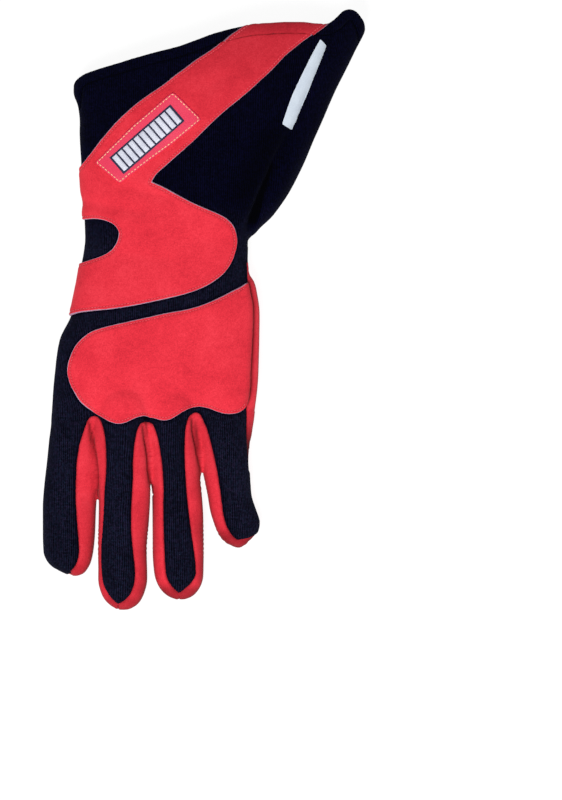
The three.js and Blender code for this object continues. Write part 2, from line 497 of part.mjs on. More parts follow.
const backRegion = above.intersect(backArea.subtract(area(PALM_EDGE, GAP)))
  .add(belowOver.intersect(knitEdge));
const backRegionWide = aboveWide.intersect(backAreaWide.subtract(area(PALM_EDGE)))
  .add(belowOver.intersect(knitEdgeWide));
const palmRegion = below.intersect(palmArea.subtract(knitEdgeWide).subtract(area(HEEL, GAP)))
  .add(aboveOver.intersect(area(PALM_EDGE)));
const backPanel = handShell.intersect(backRegion).subtract(thumbHole);

const whole = (piece) => piece.decompose().reduce((a, b) => (b.volume() > a.volume() ? b : a));

// Strips between the fingers, from tip to crotch to tip.
const names = Object.keys(DIGITS);
const middleOf = (name, y) => (sample(DIGITS[name], y, 'xl') + sample(DIGITS[name], y, 'xr')) / 2;
const tipLine = { index: -134.5, middle: -151.0, ring: -147.5, little: -122.0 };
function between(a, b, grow) {
  const low = (name) => tipLine[name] - grow;
  const steps = [-50, -75, -100, -120];
  const left = [...steps, low(a)].map((y) => new THREE.Vector2(middleOf(a, y) - grow, y));
  const right = [...steps, low(b)].map((y) => new THREE.Vector2(middleOf(b, y) + grow, y));
  const gapX = (middleOf(a, -120) + middleOf(b, -120)) / 2;
  return prism([...left, new THREE.Vector2(gapX, low(a)), new THREE.Vector2(gapX, low(b)), ...right.reverse()]);
}
const palmCut = half(-1, GAP / 2).intersect(palmAreaWide);
const strips = CROTCHES.map((c) => {
  const [a, b] = c.between;
  return {
    name: `side_strip_${a}_${b}`,
    piece: shell.intersect(between(a, b, 0)).subtract(backRegionWide).subtract(palmCut),
    wide: between(a, b, GAP),
  };
});
const tips = strips.reduce((rest, s) => rest.subtract(s.wide), form(2).intersect(prism([
  new THREE.Vector2(-FAR, -117), new THREE.Vector2(FAR, -117), new THREE.Vector2(FAR, -170), new THREE.Vector2(-FAR, -170)])));
const palmPanel = handShell.intersect(palmRegion.add(tips)).subtract(backRegionWide).subtract(thumbHole);

// The thumb runs through the palm's wall and is in one with the heel around it.
const heel = handShell.intersect(heelRegion).subtract(backRegionWide);
const thumb = heel.add(thumbForm(0).subtract(hollow)).subtract(thumbForm(-WALL));

const layer = (base, low, high) => base(high).subtract(base(low));
const onBack = layer(form, GAP, GAP + PATCH);
const bandPatch = onBack.intersect(above.intersect(area(BACK_BAND))
  .add(belowOver.intersect(area(BAND_UNDER)))).subtract(thumbHole);
const knucklePatch = onBack.intersect(above).intersect(area(KNUCKLES));
const palmPad = onBack.intersect(below).intersect(area(PALM_PAD)).subtract(thumbHole);
const crotchPad = onBack.intersect(below).intersect(area(CROTCH_PAD)).subtract(thumbHole);
const thumbPad = layer(thumbForm, GAP, GAP + PATCH).intersect(area(THUMB_PAD)).subtract(form(GAP + PATCH + GAP))
  .intersect(prism([new THREE.Vector2(-FAR, -30), new THREE.Vector2(0, -30), new THREE.Vector2(0, -115), new THREE.Vector2(-FAR, -115)], -5, 7.2));
const badge = layer(form, 2 * GAP + PATCH, 2 * GAP + PATCH + BADGE).intersect(above).intersect(turnedPlate(BADGE_AT));
const tag = layer(form, GAP, GAP + TAG).intersect(above).intersect(turnedPlate(TAG_AT));

// ---- finishes ----
const KNIT = { color: 0x090722, roughness: 0.95 };
const SUEDE = { color: 0xe83245, roughness: 0.9 };
const DARK_SUEDE = { color: 0x0b0a1e, roughness: 0.9 };
const BADGE_CLOTH = { color: 0xe8305a, roughness: 0.7 };
const TAPE = { color: 0xe9e6f2, roughness: 0.6 };

const group = new THREE.Group();
const glove = new THREE.Group();
group.add(glove);
function place(name, piece, { color, roughness }) {
  const cut = whole(whole(piece).simplify(SMOOTH)).getMesh();
  const geometry = new THREE.BufferGeometry();
  geometry.setAttribute('position', new THREE.BufferAttribute(Float32Array.from(cut.vertProperties), 3));
  geometry.setIndex(Array.from(cut.triVerts));
  geometry.computeVertexNormals();
  const mesh = new THREE.Mesh(geometry, new THREE.MeshStandardMaterial({ color, roughness, metalness: 0 }));
  mesh.name = name;
  glove.add(mesh);
}
place('back_panel', backPanel, KNIT);
place('palm_panel', palmPanel, SUEDE);
strips.forEach((s) => place(s.name, s.piece, SUEDE));
place('thumb', thumb, KNIT);
place('cuff_back', cuffBack, KNIT);
place('cuff_palm', cuffPalm, KNIT);
place('cuff_hem', hem, KNIT);
place('band_patch', bandPatch, SUEDE);
place('knuckle_patch', knucklePatch, SUEDE);
place('palm_pad', palmPad, DARK_SUEDE);
place('crotch_pad', crotchPad, DARK_SUEDE);
place('thumb_pad', thumbPad, SUEDE);
place('badge', badge, BADGE_CLOTH);
place('tag', tag, TAPE);

// The origin is on the floor under the middle of the glove's outline.
const outline = new THREE.Box3().setFromObject(glove);
const middle = outline.getCenter(new THREE.Vector3());
glove.position.set(-middle.x, -middle.y, -outline.min.z);

export default group;
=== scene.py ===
import math

import bpy
import numpy as np
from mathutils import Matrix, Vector
from mathutils.bvhtree import BVHTree


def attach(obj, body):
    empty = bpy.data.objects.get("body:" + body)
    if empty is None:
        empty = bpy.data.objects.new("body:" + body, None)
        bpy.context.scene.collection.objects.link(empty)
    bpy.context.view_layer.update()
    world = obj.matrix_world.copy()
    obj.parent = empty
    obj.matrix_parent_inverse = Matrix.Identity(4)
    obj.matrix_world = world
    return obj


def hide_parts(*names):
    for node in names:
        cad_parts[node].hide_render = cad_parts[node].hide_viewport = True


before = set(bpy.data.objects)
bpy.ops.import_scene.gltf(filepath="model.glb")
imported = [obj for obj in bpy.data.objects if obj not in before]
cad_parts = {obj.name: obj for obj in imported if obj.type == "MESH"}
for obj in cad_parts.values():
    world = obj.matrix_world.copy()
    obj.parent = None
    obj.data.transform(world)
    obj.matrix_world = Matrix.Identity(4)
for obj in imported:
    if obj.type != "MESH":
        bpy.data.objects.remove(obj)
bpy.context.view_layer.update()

# Racing glove, left hand, lying on its palm. Everything below is worked out in millimetres in the
# glove's own axes: fingers toward -Y, cuff mouth toward +Y, the floor at z = 0.
SHIFT = (0.0, 1.0)          # from these axes to the row frame
VOXEL = 0.95                # grid of the cloth surface
SNAP = 0.09                 # points this near a seam lie on it
HEM = 5.6                   # depth of the folded hem at the cuff's mouth
FAR = 110.0

EDGE_HEIGHT = 0.46
BACK_ROUND, REST_ROUND = 2.3, 3.2

#        xl     yl     xr    yr     zbl   zbr  ztl   ztr   bow  lean
HAND = [
    (-69.4, 134.0, 87.8, 168.4, 0.0, 0.0, 27.2, 33.2, 8.4, 0),   # past the mouth
    (-69.6, 120.2, 86.2, 154.6, 0.0, 0.0, 27.0, 33.0, 8.2, 0),   # mouth
    (-69.4, 113.8, 85.3, 147.6, 0.0, 0.0, 27.0, 33.0, 8.0, 0),
    (-67.0, 106.4, 79.4, 135.4, 0.0, 0.0, 26.8, 32.6, 6.8, 0),
    (-66.3, 96.5, 70.8, 117.6, 0.0, 0.0, 26.5, 32.0, 5.6, 0),
    (-66.0, 85.1, 59.8, 92.5, 0.0, 0.0, 26.0, 31.0, 3.6, 0),
    (-65.2, 69.7, 47.4, 67.0, 0.0, 0.0, 25.5, 29.0, 1.8, 0),
    (-64.3, 53.8, 34.3, 47.8, 0.0, 0.0, 25.5, 27.0, 0, 0),
    (-64.2, 45.6, 29.6, 42.0, 0.2, 0.2, 25.8, 26.2, 0, 0),
    (-64.0, 40.8, 27.4, 39.2, 0.3, 0.3, 25.9, 25.6, 0, 0),
    (-63.9, 36.8, 23.4, 35.4, 0.4, 0.4, 26.0, 25.2, 0, 0),       # wrist
    (-64.4, 31.4, 23.2, 30.2, 0.6, 0.45, 26.5, 25.0, 0, 0),
    (-65.4, 25.2, 22.9, 24.1, 0.8, 0.5, 27.0, 25.0, 0, 0),
    (-66.4, 18.4, 23.4, 17.6, 1.8, 1.0, 28.2, 25.2, 0, 0),
    (-67.4, 11.4, 26.4, 11.4, 3.0, 1.6, 29.5, 25.5, 0, 0),
    (-70.4, -3.4, 28.4, -3.4, 7.0, 1.8, 32.5, 25.5, 0, 0),
    (-76.3, -17.2, 28.2, -17.2, 12.5, 1.8, 35.0, 25.5, 0, 0),
    (-78.4, -32.1, 28.1, -32.1, 17.6, 1.8, 36.5, 25.5, 0, 0),
    (-79.8, -44.8, 27.5, -44.8, 18.0, 1.8, 36.5, 24.5, 0, 1),
    (-80.8, -57.5, 26.1, -57.5, 17.6, 1.8, 35.5, 23.0, 0, 4),
    (-80.3, -71.8, 24.0, -71.8, 16.8, 2.2, 32.5, 21.5, 0, 14),   # web
]
#        y      xl     xr     zb    zt    fl     fr   (fl, fr: the suede front's edges)
DIGITS = {
    "index": [
        (-38.0, -74.0, -60.0, 21.0, 30.0, -75.6, -59.4), (-51.0, -80.2, -56.6, 18.6, 33.9, -75.8, -59.4),
        (-64.9, -80.8, -58.4, 17.4, 33.0, -76.4, -59.6), (-80.8, -82.4, -56.9, 14.6, 29.5, -77.1, -60.2),
        (-92.5, -83.9, -56.5, 10.8, 26.3, -78.3, -60.6), (-99.5, -84.6, -57.1, 8.2, 24.5, -78.5, -60.9), (-105.0, -85.0, -57.4, 6.2, 23.2, -78.7, -61.2),
        (-117.9, -85.1, -58.1, 2.6, 20.0, -79.0, -61.7), (-129.6, -84.7, -59.4, 0.8, 17.2, -79.0, -62.3),
        (-135.6, -81.8, -60.8, 0.9, 14.8, -77.6, -64.0), (-138.6, -77.4, -62.4, 1.6, 13.2, -74.6, -65.0),
        (-140.9, -72.6, -64.4, 2.8, 11.4, -71.0, -66.4), (-142.2, -70.4, -67.2, 4.8, 9.0, -69.6, -68.0),
    ],
    "middle": [
        (-38.0, -52.0, -34.0, 19.0, 30.0, -54.2, -32.8), (-51.0, -58.0, -30.2, 16.8, 33.8, -54.1, -32.9),
        (-64.9, -60.2, -30.1, 16.2, 33.2, -53.6, -33.4), (-80.8, -58.7, -28.5, 15.4, 31.8, -53.0, -33.6),
        (-91.5, -57.2, -28.4, 14.4, 30.8, -52.8, -33.8), (-97.0, -56.2, -28.6, 14.0, 30.4, -52.6, -34.0),
        (-104.0, -56.0, -28.8, 12.9, 29.4, -52.5, -34.6), (-112.6, -56.2, -29.3, 11.6, 28.0, -52.4, -35.2),
        (-128.5, -56.4, -30.8, 6.2, 23.2, -52.4, -36.0), (-144.4, -56.4, -30.6, 1.8, 18.2, -52.0, -36.0),
        (-151.8, -54.8, -32.2, 1.0, 15.4, -50.4, -37.4), (-155.2, -53.0, -33.8, 1.4, 13.8, -49.0, -38.8),
        (-158.0, -50.2, -36.2, 2.4, 12.2, -47.4, -40.4), (-160.4, -46.4, -40.4, 4.8, 9.4, -46.0, -41.0),
    ],
    "ring": [
        (-38.0, -24.0, -8.0, 12.0, 26.0, -26.4, -7.4), (-51.0, -31.0, -4.4, 9.9, 30.4, -26.3, -7.4),
        (-64.9, -32.0, -3.8, 8.6, 29.2, -25.6, -7.8), (-80.8, -30.4, -2.2, 6.6, 26.2, -24.6, -7.4),
        (-87.0, -29.8, -2.5, 5.6, 24.9, -24.2, -7.1),
        (-91.5, -29.0, -2.2, 4.8, 23.7, -24.0, -6.8), (-96.5, -27.7, -1.7, 3.9, 22.6, -23.7, -6.5), (-112.6, -27.5, -0.6, 1.6, 19.4, -22.6, -5.6),
        (-128.5, -27.5, -0.6, 0.5, 17.4, -22.4, -5.4), (-141.8, -26.4, -0.7, 0.5, 16.0, -21.6, -6.0),
        (-145.4, -25.4, -1.2, 0.8, 14.9, -20.8, -6.8), (-148.4, -24.0, -2.4, 1.3, 13.8, -19.6, -7.8),
        (-151.2, -21.8, -4.2, 2.0, 12.4, -18.0, -9.2), (-153.6, -18.6, -7.0, 2.8, 10.8, -16.4, -10.6),
        (-155.0, -15.2, -10.4, 4.6, 8.6, -15.0, -11.4),
    ],
    "little": [
        (-36.0, 0.0, 21.0, 6.0, 20.0, -0.4, FAR), (-48.0, -4.4, 25.2, 3.4, 23.4, -0.4, FAR),
        (-59.6, -6.6, 24.8, 2.8, 22.4, -0.2, FAR), (-72.9, -4.2, 23.7, 2.2, 20.4, 0.8, FAR),
        (-81.0, -2.6, 23.2, 1.9, 19.1, 2.4, FAR), (-87.5, -0.9, 23.5, 1.7, 18.4, 3.5, FAR), (-94.0, 0.4, 23.9, 1.2, 17.5, 4.7, FAR), (-99.4, 1.5, 24.4, 0.9, 16.8, 5.8, FAR),
        (-106.6, 2.6, 26.6, 0.4, 16.0, 7.2, FAR), (-110.0, 3.4, 27.8, 0.2, 15.6, 8.0, FAR), (-113.6, 4.6, 28.8, 0.3, 15.0, 9.2, FAR),
        (-117.4, 6.0, 28.4, 0.4, 14.3, 10.5, FAR), (-120.6, 7.6, 27.0, 0.8, 13.2, 12.0, FAR),
        (-123.2, 9.6, 24.4, 1.3, 12.0, 13.8, FAR), (-126.0, 13.6, 21.2, 2.6, 9.4, 16.4, FAR),
        (-127.2, 16.6, 19.6, 4.2, 7.8, 17.4, FAR),
    ],
}
#        y      xl     xr     zb    zl    zr
THUMB = [
    (12.0, -60.0, -34.0, 5.0, 12.0, 10.0), (2.0, -66.0, -30.0, 2.4, 12.8, 10.0), (-8.0, -71.5, -28.0, 1.6, 14.2, 9.6),
    (-20.0, -76.0, -26.4, 1.6, 15.4, 8.6), (-34.2, -78.0, -25.4, 1.6, 15.8, 8.0), (-50.1, -77.6, -26.2, 1.6, 15.4, 8.0),
    (-66.0, -73.6, -27.8, 1.6, 14.8, 8.8), (-80.8, -67.4, -29.4, 1.6, 13.8, 10.4), (-92.5, -61.2, -30.6, 1.6, 12.6, 11.8),
    (-102.0, -55.4, -32.4, 1.6, 11.8, 11.8), (-109.0, -51.6, -34.6, 2.0, 10.8, 10.8), (-113.0, -47.6, -37.2, 3.2, 9.0, 9.0),
    (-114.4, -44.4, -40.4, 5.0, 7.2, 7.2),
]

# ---- outlines, seen from above ----
MOUTH = [(-71.4, 107.9), (-70.7, 112.1), (-70.4, 115.2), (-69.9, 118.0), (-68.3, 120.5), (-65.9, 122.5), (-58.0, 125.7),
         (-47.4, 128.8), (-37.4, 131.8), (-26.2, 134.9), (-13.5, 138.1), (-4.5, 141.3), (4.0, 144.4), (16.2, 147.7),
         (25.7, 149.4), (35.8, 150.1), (44.3, 150.6), (52.7, 150.5), (60.2, 149.7), (65.2, 149.8), (68.3, 151.6),
         (71.2, 154.4), (73.9, 156.9), (77.1, 157.7), (80.4, 156.8), (83.0, 154.2), (85.0, 151.0), (86.2, 147.4), (87.2, 141.8)]
BAND_LEFT = [(29.0, 157.7), (23.4, 150.9), (18.6, 147.2), (13.6, 143.8), (8.5, 139.6), (2.9, 135.6), (-4.0, 131.2),
             (-9.3, 127.2), (-15.1, 123.0), (-21.5, 117.9), (-28.4, 113.2), (-34.7, 108.7), (-41.1, 103.4), (-46.9, 97.8),
             (-51.7, 92.2), (-55.9, 87.2), (-59.1, 82.9), (-61.7, 79.5), (-64.1, 76.3), (-66.0, 73.7), (-69.0, 69.8)]
BAND_NOTCH = [(-67.0, 46.5), (-63.9, 46.6), (-57.7, 46.9), (-52.0, 45.8), (-47.7, 43.7), (-45.3, 40.0), (-45.8, 35.8),
              (-47.7, 32.1), (-51.1, 28.9), (-54.9, 26.9), (-59.6, 25.3), (-65.2, 23.6), (-69.2, 22.0)]
BAND_LOW = [(-76.6, -6.0), (-70.9, -4.5), (-67.1, -3.3), (-60.5, -2.3), (-48.2, -1.0), (-38.7, 0.5), (-29.3, 2.4),
            (-19.9, 4.5), (-10.3, 6.9), (-2.8, 9.5), (3.9, 12.9), (9.1, 16.9), (13.3, 22.5), (15.8, 28.6), (16.9, 34.3),
            (16.6, 39.5), (15.2, 43.4), (12.4, 46.6), (7.2, 49.6), (1.0, 52.2), (-5.6, 55.1), (-10.3, 57.5),
            (-16.0, 60.7), (-21.7, 63.8), (-27.8, 66.5)]
BAND_RIGHT = [(-27.8, 66.5), (-25.5, 70.1), (-20.7, 74.6), (-16.0, 78.8), (-11.3, 82.9), (-5.1, 88.6), (1.3, 94.9),
              (7.4, 100.7), (13.0, 105.5), (18.8, 110.2), (24.1, 114.7), (29.4, 119.6), (33.7, 123.5), (37.4, 127.2),
              (40.5, 130.6), (44.0, 134.1), (48.0, 137.3), (52.0, 140.5), (56.4, 143.4), (61.4, 146.6), (66.0, 150.0),
              (71.0, 156.0)]
KNUCKLES = [(22.9, 13.4), (21.8, 12.8), (18.8, 10.9), (14.3, 8.6), (6.6, 4.6), (-0.8, 1.4), (-7.5, -0.7), (-19.9, -3.1),
            (-31.2, -5.6), (-40.6, -7.7), (-48.2, -9.5), (-54.7, -11.3), (-59.6, -13.2), (-63.7, -16.1), (-67.7, -20.4),
            (-70.1, -25.2), (-71.7, -30.1), (-72.1, -34.2), (-71.0, -39.5), (-68.9, -44.7), (-66.1, -49.3), (-62.0, -53.2),
            (-57.1, -56.1), (-53.1, -58.6), (-49.9, -60.4), (-45.8, -61.6), (-41.7, -61.0), (-37.7, -59.0), (-34.2, -57.7),
            (-30.4, -57.5), (-26.3, -58.6), (-22.3, -59.7), (-19.0, -59.6), (-15.7, -58.0), (-11.7, -55.3), (-7.7, -53.3),
            (-2.8, -52.4), (2.1, -53.3), (6.9, -55.1), (11.0, -56.2), (15.1, -56.3), (18.9, -55.2), (21.5, -53.0), (22.9, -50.2),
            (23.5, -47.0), (23.9, -43.7), (24.2, -34.0), (24.5, -26.0), (25.0, -18.1), (25.3, -13.5), (25.6, -4.9), (25.4, 1.9),
            (24.6, 6.2), (23.7, 11.0)]
PALM_EDGE = [(22.2, 24.0), (22.5, 19.0), (22.7, 15.0), (22.9, 13.2), (23.5, 11.0), (24.2, 6.2), (25.0, 1.9), (25.2, -4.9),
             (24.9, -13.5), (24.6, -18.1), (24.1, -26.0), (23.8, -34.0), (23.5, -43.7), (23.3, -52.7), (23.3, -60.7),
             (23.2, -69.2), (23.6, -77.1), (24.1, -86.1)]
INDEX_SIDE = [(-71.3, -140.7), (-68.7, -137.9), (-67.0, -134.2), (-66.2, -129.6), (-66.4, -124.1), (-67.2, -114.0),
              (-67.6, -108.4), (-67.9, -103.1), (-68.0, -96.2), (-67.7, -89.1), (-67.4, -82.9), (-66.6, -77.5), (-65.5, -71.8),
              (-63.9, -67.4), (-62.6, -63.9), (-61.2, -60.8), (-60.0, -58.8), (-58.6, -57.7), (-57.0, -57.9), (-55.6, -59.4),
              (-54.5, -61.6), (-53.6, -64.3), (-52.6, -69.7), (-52.2, -76.6), (-52.2, -82.9), (-52.6, -89.3), (-53.4, -95.7),
              (-53.8, -104.7), (-54.6, -116.9), (-55.3, -127.5), (-55.3, -136.5), (-54.9, -142.8), (-54.0, -147.4),
              (-52.2, -151.1), (-49.6, -154.9), (-46.0, -158.0)]
MIDDLE_SIDE = [(-46.0, -158.0), (-42.6, -156.0), (-39.3, -152.6), (-37.3, -148.1), (-36.4, -142.8), (-36.6, -137.0),
               (-37.2, -131.7), (-38.0, -124.3), (-38.5, -115.3), (-38.4, -106.3), (-37.9, -97.8), (-37.4, -89.3),
               (-37.4, -80.8), (-36.9, -74.5), (-36.1, -69.2), (-34.3, -63.5), (-32.8, -61.5), (-30.9, -60.6), (-29.1, -60.9),
               (-27.6, -62.3), (-26.6, -64.3), (-24.6, -70.8), (-23.4, -78.2), (-22.5, -86.1), (-22.1, -95.1), (-22.3, -106.3),
               (-22.1, -117.9), (-21.6, -128.5), (-21.1, -138.1), (-20.5, -142.8), (-19.1, -146.0), (-16.6, -149.4),
               (-13.6, -152.2)]
RING_SIDE = [(-13.6, -152.2), (-10.2, -149.6), (-6.6, -146.1), (-4.5, -142.8), (-4.3, -137.5), (-5.2, -129.1), (-6.6, -119.8),
             (-7.8, -110.5), (-9.0, -99.4), (-9.7, -88.2), (-10.1, -76.6), (-9.9, -69.2), (-9.1, -62.8), (-8.1, -59.8),
             (-6.6, -57.3), (-4.7, -55.9), (-2.9, -56.4), (-1.3, -58.6), (-0.2, -61.2), (0.6, -63.5), (2.6, -70.2),
             (4.6, -78.2), (6.3, -86.1), (7.5, -93.5), (8.7, -102.6), (10.0, -111.6), (11.7, -116.9), (14.2, -120.9),
             (17.2, -123.9)]
LITTLE_SIDE = [(17.2, -123.9), (20.6, -123.4), (24.0, -122.6), (27.0, -121.2), (31.0, -118.4)]
CUFF_SEAM = [(72.0, 160.0), (66.5, 147.1), (64.9, 139.1), (59.1, 123.8), (53.3, 110.0), (47.6, 95.5), (42.7, 85.1),
             (39.0, 77.1), (34.7, 67.0), (30.5, 57.0), (27.3, 47.4), (24.4, 37.9), (22.5, 24.1), (20.0, 10.0)]
KNIT_EDGE = [(-61.0, 34.0), (-66.0, 8.0), (-70.0, -16.0), (-73.4, -34.0), (-75.6, -50.0), (-76.4, -64.9), (-77.1, -80.8),
             (-78.3, -94.0), (-78.7, -105.0), (-79.0, -117.9), (-79.0, -129.6), (-77.6, -135.9), (-74.6, -141.0), (-73.0, -150.0)]
HEEL = [(-38.5, 46.0), (-39.0, 19.3), (-41.6, 3.4), (-40.5, -7.2), (-36.8, -17.8), (-33.7, -31.0), (-38.0, -34.0),
        (-52.0, -40.0), (-66.0, -46.0), (-76.0, -51.0)]
PALM_PAD = [(-36.0, -8.0), (-30.0, 5.6), (-25.6, 7.2), (-20.4, 8.0), (-16.2, 7.2), (-12.5, 6.6), (-8.2, 6.2), (-4.5, 5.2),
            (-1.3, 3.4), (3.2, -0.8), (7.6, -6.6), (11.6, -17.0), (13.4, -28.0), (13.8, -50.0), (13.4, -74.0), (11.6, -84.0),
            (7.6, -88.4), (3.2, -88.6), (-1.3, -80.0), (-4.5, -79.0), (-8.2, -80.0), (-12.5, -85.0), (-16.2, -95.6),
            (-20.4, -97.0), (-25.6, -90.0), (-30.0, -76.0), (-36.0, -66.0), (-37.4, -36.0)]
CROTCH_PAD = [(-68.2, -53.0), (-73.0, -57.0), (-74.6, -66.0), (-74.4, -76.0), (-73.0, -86.0), (-70.4, -92.0), (-67.0, -95.6),
              (-62.8, -92.0), (-62.0, -86.0), (-61.6, -76.0), (-61.6, -66.0), (-63.4, -57.0)]
THUMB_PAD = [(-49.0, -41.0), (-44.6, -43.4), (-41.6, -49.0), (-42.1, -54.3), (-47.4, -61.7), (-53.3, -69.2), (-55.6, -75.4),
             (-51.0, -79.8), (-34.4, -81.4), (-29.6, -86.0), (-28.6, -93.0), (-31.6, -98.6), (-40.0, -102.6), (-52.0, -105.0),
             (-90.0, -108.0), (-90.0, -52.0), (-72.0, -49.0), (-61.0, -43.4)]
QUILT = [[(3.4, -62.0), (1.9, -55.9), (0.3, -44.8), (-4.5, -32.9), (-11.9, -20.4), (-20.9, -7.7), (-28.4, 0.6)],
         [(-2.9, 1.3), (-11.9, -9.8), (-18.7, -20.2), (-21.6, -30.6), (-22.7, -41.1), (-22.4, -51.4), (-18.7, -63.3),
          (-15.1, -70.8), (-6.6, -72.3), (-0.8, -67.5), (1.9, -55.9)]]
CREASES = [[(-60.6, -60.0), (-59.3, -66.5), (-58.3, -73.9), (-57.2, -81.9), (-56.7, -90.4), (-56.5, -98.4)],
           [(-32.6, -62.0), (-30.4, -71.6), (-28.9, -80.8), (-28.5, -94.1)],
           [(-6.4, -58.4), (-4.8, -67.6), (-2.9, -76.9), (-2.2, -85.5)]]
BADGE = {"x": -30.3, "y": 88.8, "length": 54.0, "width": 17.6, "turn": 41.0, "corner": 1.6}
BADGE_CORNERS = [(-57.2, 76.4), (-56.6, 77.6), (-37.6, 96.4), (-17.8, 113.0), (-16.4, 113.6), (-15.0, 112.9), (-2.4, 100.6),
                 (-1.7, 99.3), (-2.6, 97.9), (-22.0, 82.6), (-43.4, 66.4), (-44.8, 66.0), (-46.2, 66.8)]
TAG = {"x": 53.4, "y": 117.0, "length": 48.5, "width": 6.4, "turn": 66.8, "corner": 0.5}
TAG_CORNERS = [(61.2, 141.8), (65.0, 137.9), (56.2, 115.6), (46.9, 93.5), (41.1, 96.9), (43.2, 103.0), (46.4, 112.1), (51.3, 122.7), (56.6, 133.3)]
TIP_SEAMS = {"middle": -46.0, "ring": -13.6}


# ---- curves and fields ----
def curve(points, step=1.2):
    """A smooth line through the points, as points about `step` apart."""
    p = np.array(points, float)
    d = np.maximum(np.linalg.norm(np.diff(p, axis=0), axis=1), 1e-6)
    v = np.diff(p, axis=0) / d[:, None]
    m = np.empty_like(p)
    m[0], m[-1] = v[0], v[-1]
    m[1:-1] = (v[:-1] * d[1:, None] + v[1:] * d[:-1, None]) / (d[:-1] + d[1:])[:, None]
    out = []
    for i, h in enumerate(d):
        t = (np.arange(max(1, math.ceil(h / step))) / max(1, math.ceil(h / step)))[:, None]
        out.append((2 * t**3 - 3 * t**2 + 1) * p[i] + (t**3 - 2 * t**2 + t) * h * m[i]
                   + (3 * t**2 - 2 * t**3) * p[i + 1] + (t**3 - t**2) * h * m[i + 1])
    return np.vstack(out + [p[-1:]])


def loop(points):
    """A smooth closed outline through the points."""
    n = len(points)
    wrapped = curve([points[(i - 3) % n] for i in range(n + 7)])
    start = np.linalg.norm(wrapped - np.array(points[0]), axis=1)
    hits = np.flatnonzero(start < 1e-6)
    return wrapped[hits[0]:hits[1]]


def to_line(line, q):
    """Distance of each point to a line."""
    best = np.full(len(q), 1e9)
    for a, b in zip(line[:-1], line[1:]):
        e = b - a
        w = q - a
        t = np.clip((w @ e) / max(e @ e, 1e-9), 0, 1)
        best = np.minimum(best, (w[:, 0] - t * e[0]) ** 2 + (w[:, 1] - t * e[1]) ** 2)
    return np.sqrt(best)


def region(outline, q, reach=9.0):
    """Distance to a closed outline, negative inside. Past `reach` it is only roughly right."""
    a_all, b_all = outline, np.roll(outline, -1, axis=0)
    near = ((q > outline.min(0) - reach) & (q < outline.max(0) + reach)).all(1)
    result = np.full(len(q), float(reach))
    s = q[near]
    best, inside = np.full(len(s), 1e9), np.zeros(len(s), bool)
    for a, b in zip(a_all, b_all):
        e = b - a
        if e @ e < 1e-12:
            continue
        w0, w1 = s[:, 0] - a[0], s[:, 1] - a[1]
        t = np.clip((w0 * e[0] + w1 * e[1]) / (e @ e), 0, 1)
        best = np.minimum(best, (w0 - t * e[0]) ** 2 + (w1 - t * e[1]) ** 2)
        if a[1] != b[1]:
            spans = (a[1] <= s[:, 1]) != (b[1] <= s[:, 1])
            inside ^= spans & (s[:, 0] < a[0] + (s[:, 1] - a[1]) * e[0] / e[1])
    result[near] = np.sqrt(best) * np.where(inside, -1, 1)
    return result


def plate(at, q):
    """Distance to a turned rectangle with round corners, negative inside, and the place in its own axes."""
    c, s = math.cos(math.radians(at["turn"])), math.sin(math.radians(at["turn"]))
    dx, dy = q[:, 0] - at["x"], q[:, 1] - at["y"]
    own = np.stack([dx * c + dy * s, dy * c - dx * s], 1)
    r = at["corner"]
    d = np.abs(own) - np.array([at["length"] / 2 - r, at["width"] / 2 - r])
    return np.linalg.norm(np.maximum(d, 0), axis=1) + np.minimum(d.max(1), 0) - r, own


def step(low, high, x):
    t = np.clip((x - low) / (high - low), 0, 1)
    return t * t * (3 - 2 * t)


def noise(p, size, seed):
    """Smooth noise between -1 and 1 with features about `size` across."""
    q = p / size + seed * 7.31
    i = np.floor(q).astype(np.int64)
    f = q - i
    f = f * f * f * (f * (f * 6 - 15) + 10)

    def corner(dx, dy, dz):
        n = ((i[:, 0] + dx) * 73856093) ^ ((i[:, 1] + dy) * 19349663) ^ ((i[:, 2] + dz) * 83492791) ^ (seed * 40503 + 977)
        n = (n & 0xFFFFFFFF) * 2246822519 & 0xFFFFFFFF
        n = (n ^ (n >> 15)) * 3266489917 & 0xFFFFFFFF
        return ((n >> 8) & 0xFFFF) / 32767.5 - 1

    total = 0
    for dx in (0, 1):
        for dy in (0, 1):
            for dz in (0, 1):
                w = (f[:, 0] if dx else 1 - f[:, 0]) * (f[:, 1] if dy else 1 - f[:, 1]) * (f[:, 2] if dz else 1 - f[:, 2])
                total = total + w * corner(dx, dy, dz)
    return total


def pchip(x, y, q):
    """Smooth interpolation that doesn't overshoot."""
    x, y, q = np.array(x, float), np.array(y, float), np.array(q, float)
    h = np.diff(x)
    d = np.diff(y) / h
    m = np.zeros_like(y)
    m[0], m[-1] = d[0], d[-1]
    for i in range(1, len(x) - 1):
        if d[i - 1] * d[i] > 0:
            w1, w2 = 2 * h[i] + h[i - 1], h[i] + 2 * h[i - 1]
            m[i] = (w1 + w2) / (w1 / d[i - 1] + w2 / d[i])
    i = np.clip(np.searchsorted(x, q) - 1, 0, len(x) - 2)
    t = np.clip((q - x[i]) / h[i], 0, 1)
    return ((2 * t**3 - 3 * t**2 + 1) * y[i] + (t**3 - 2 * t**2 + t) * h[i] * m[i]
            + (3 * t**2 - 2 * t**3) * y[i + 1] + (t**3 - t**2) * h[i] * m[i + 1])


# ---- the closed forms of hand, fingers and thumb ----
def arc(value, fullness):
    return np.sign(value) * np.abs(value) ** (2 / fullness)


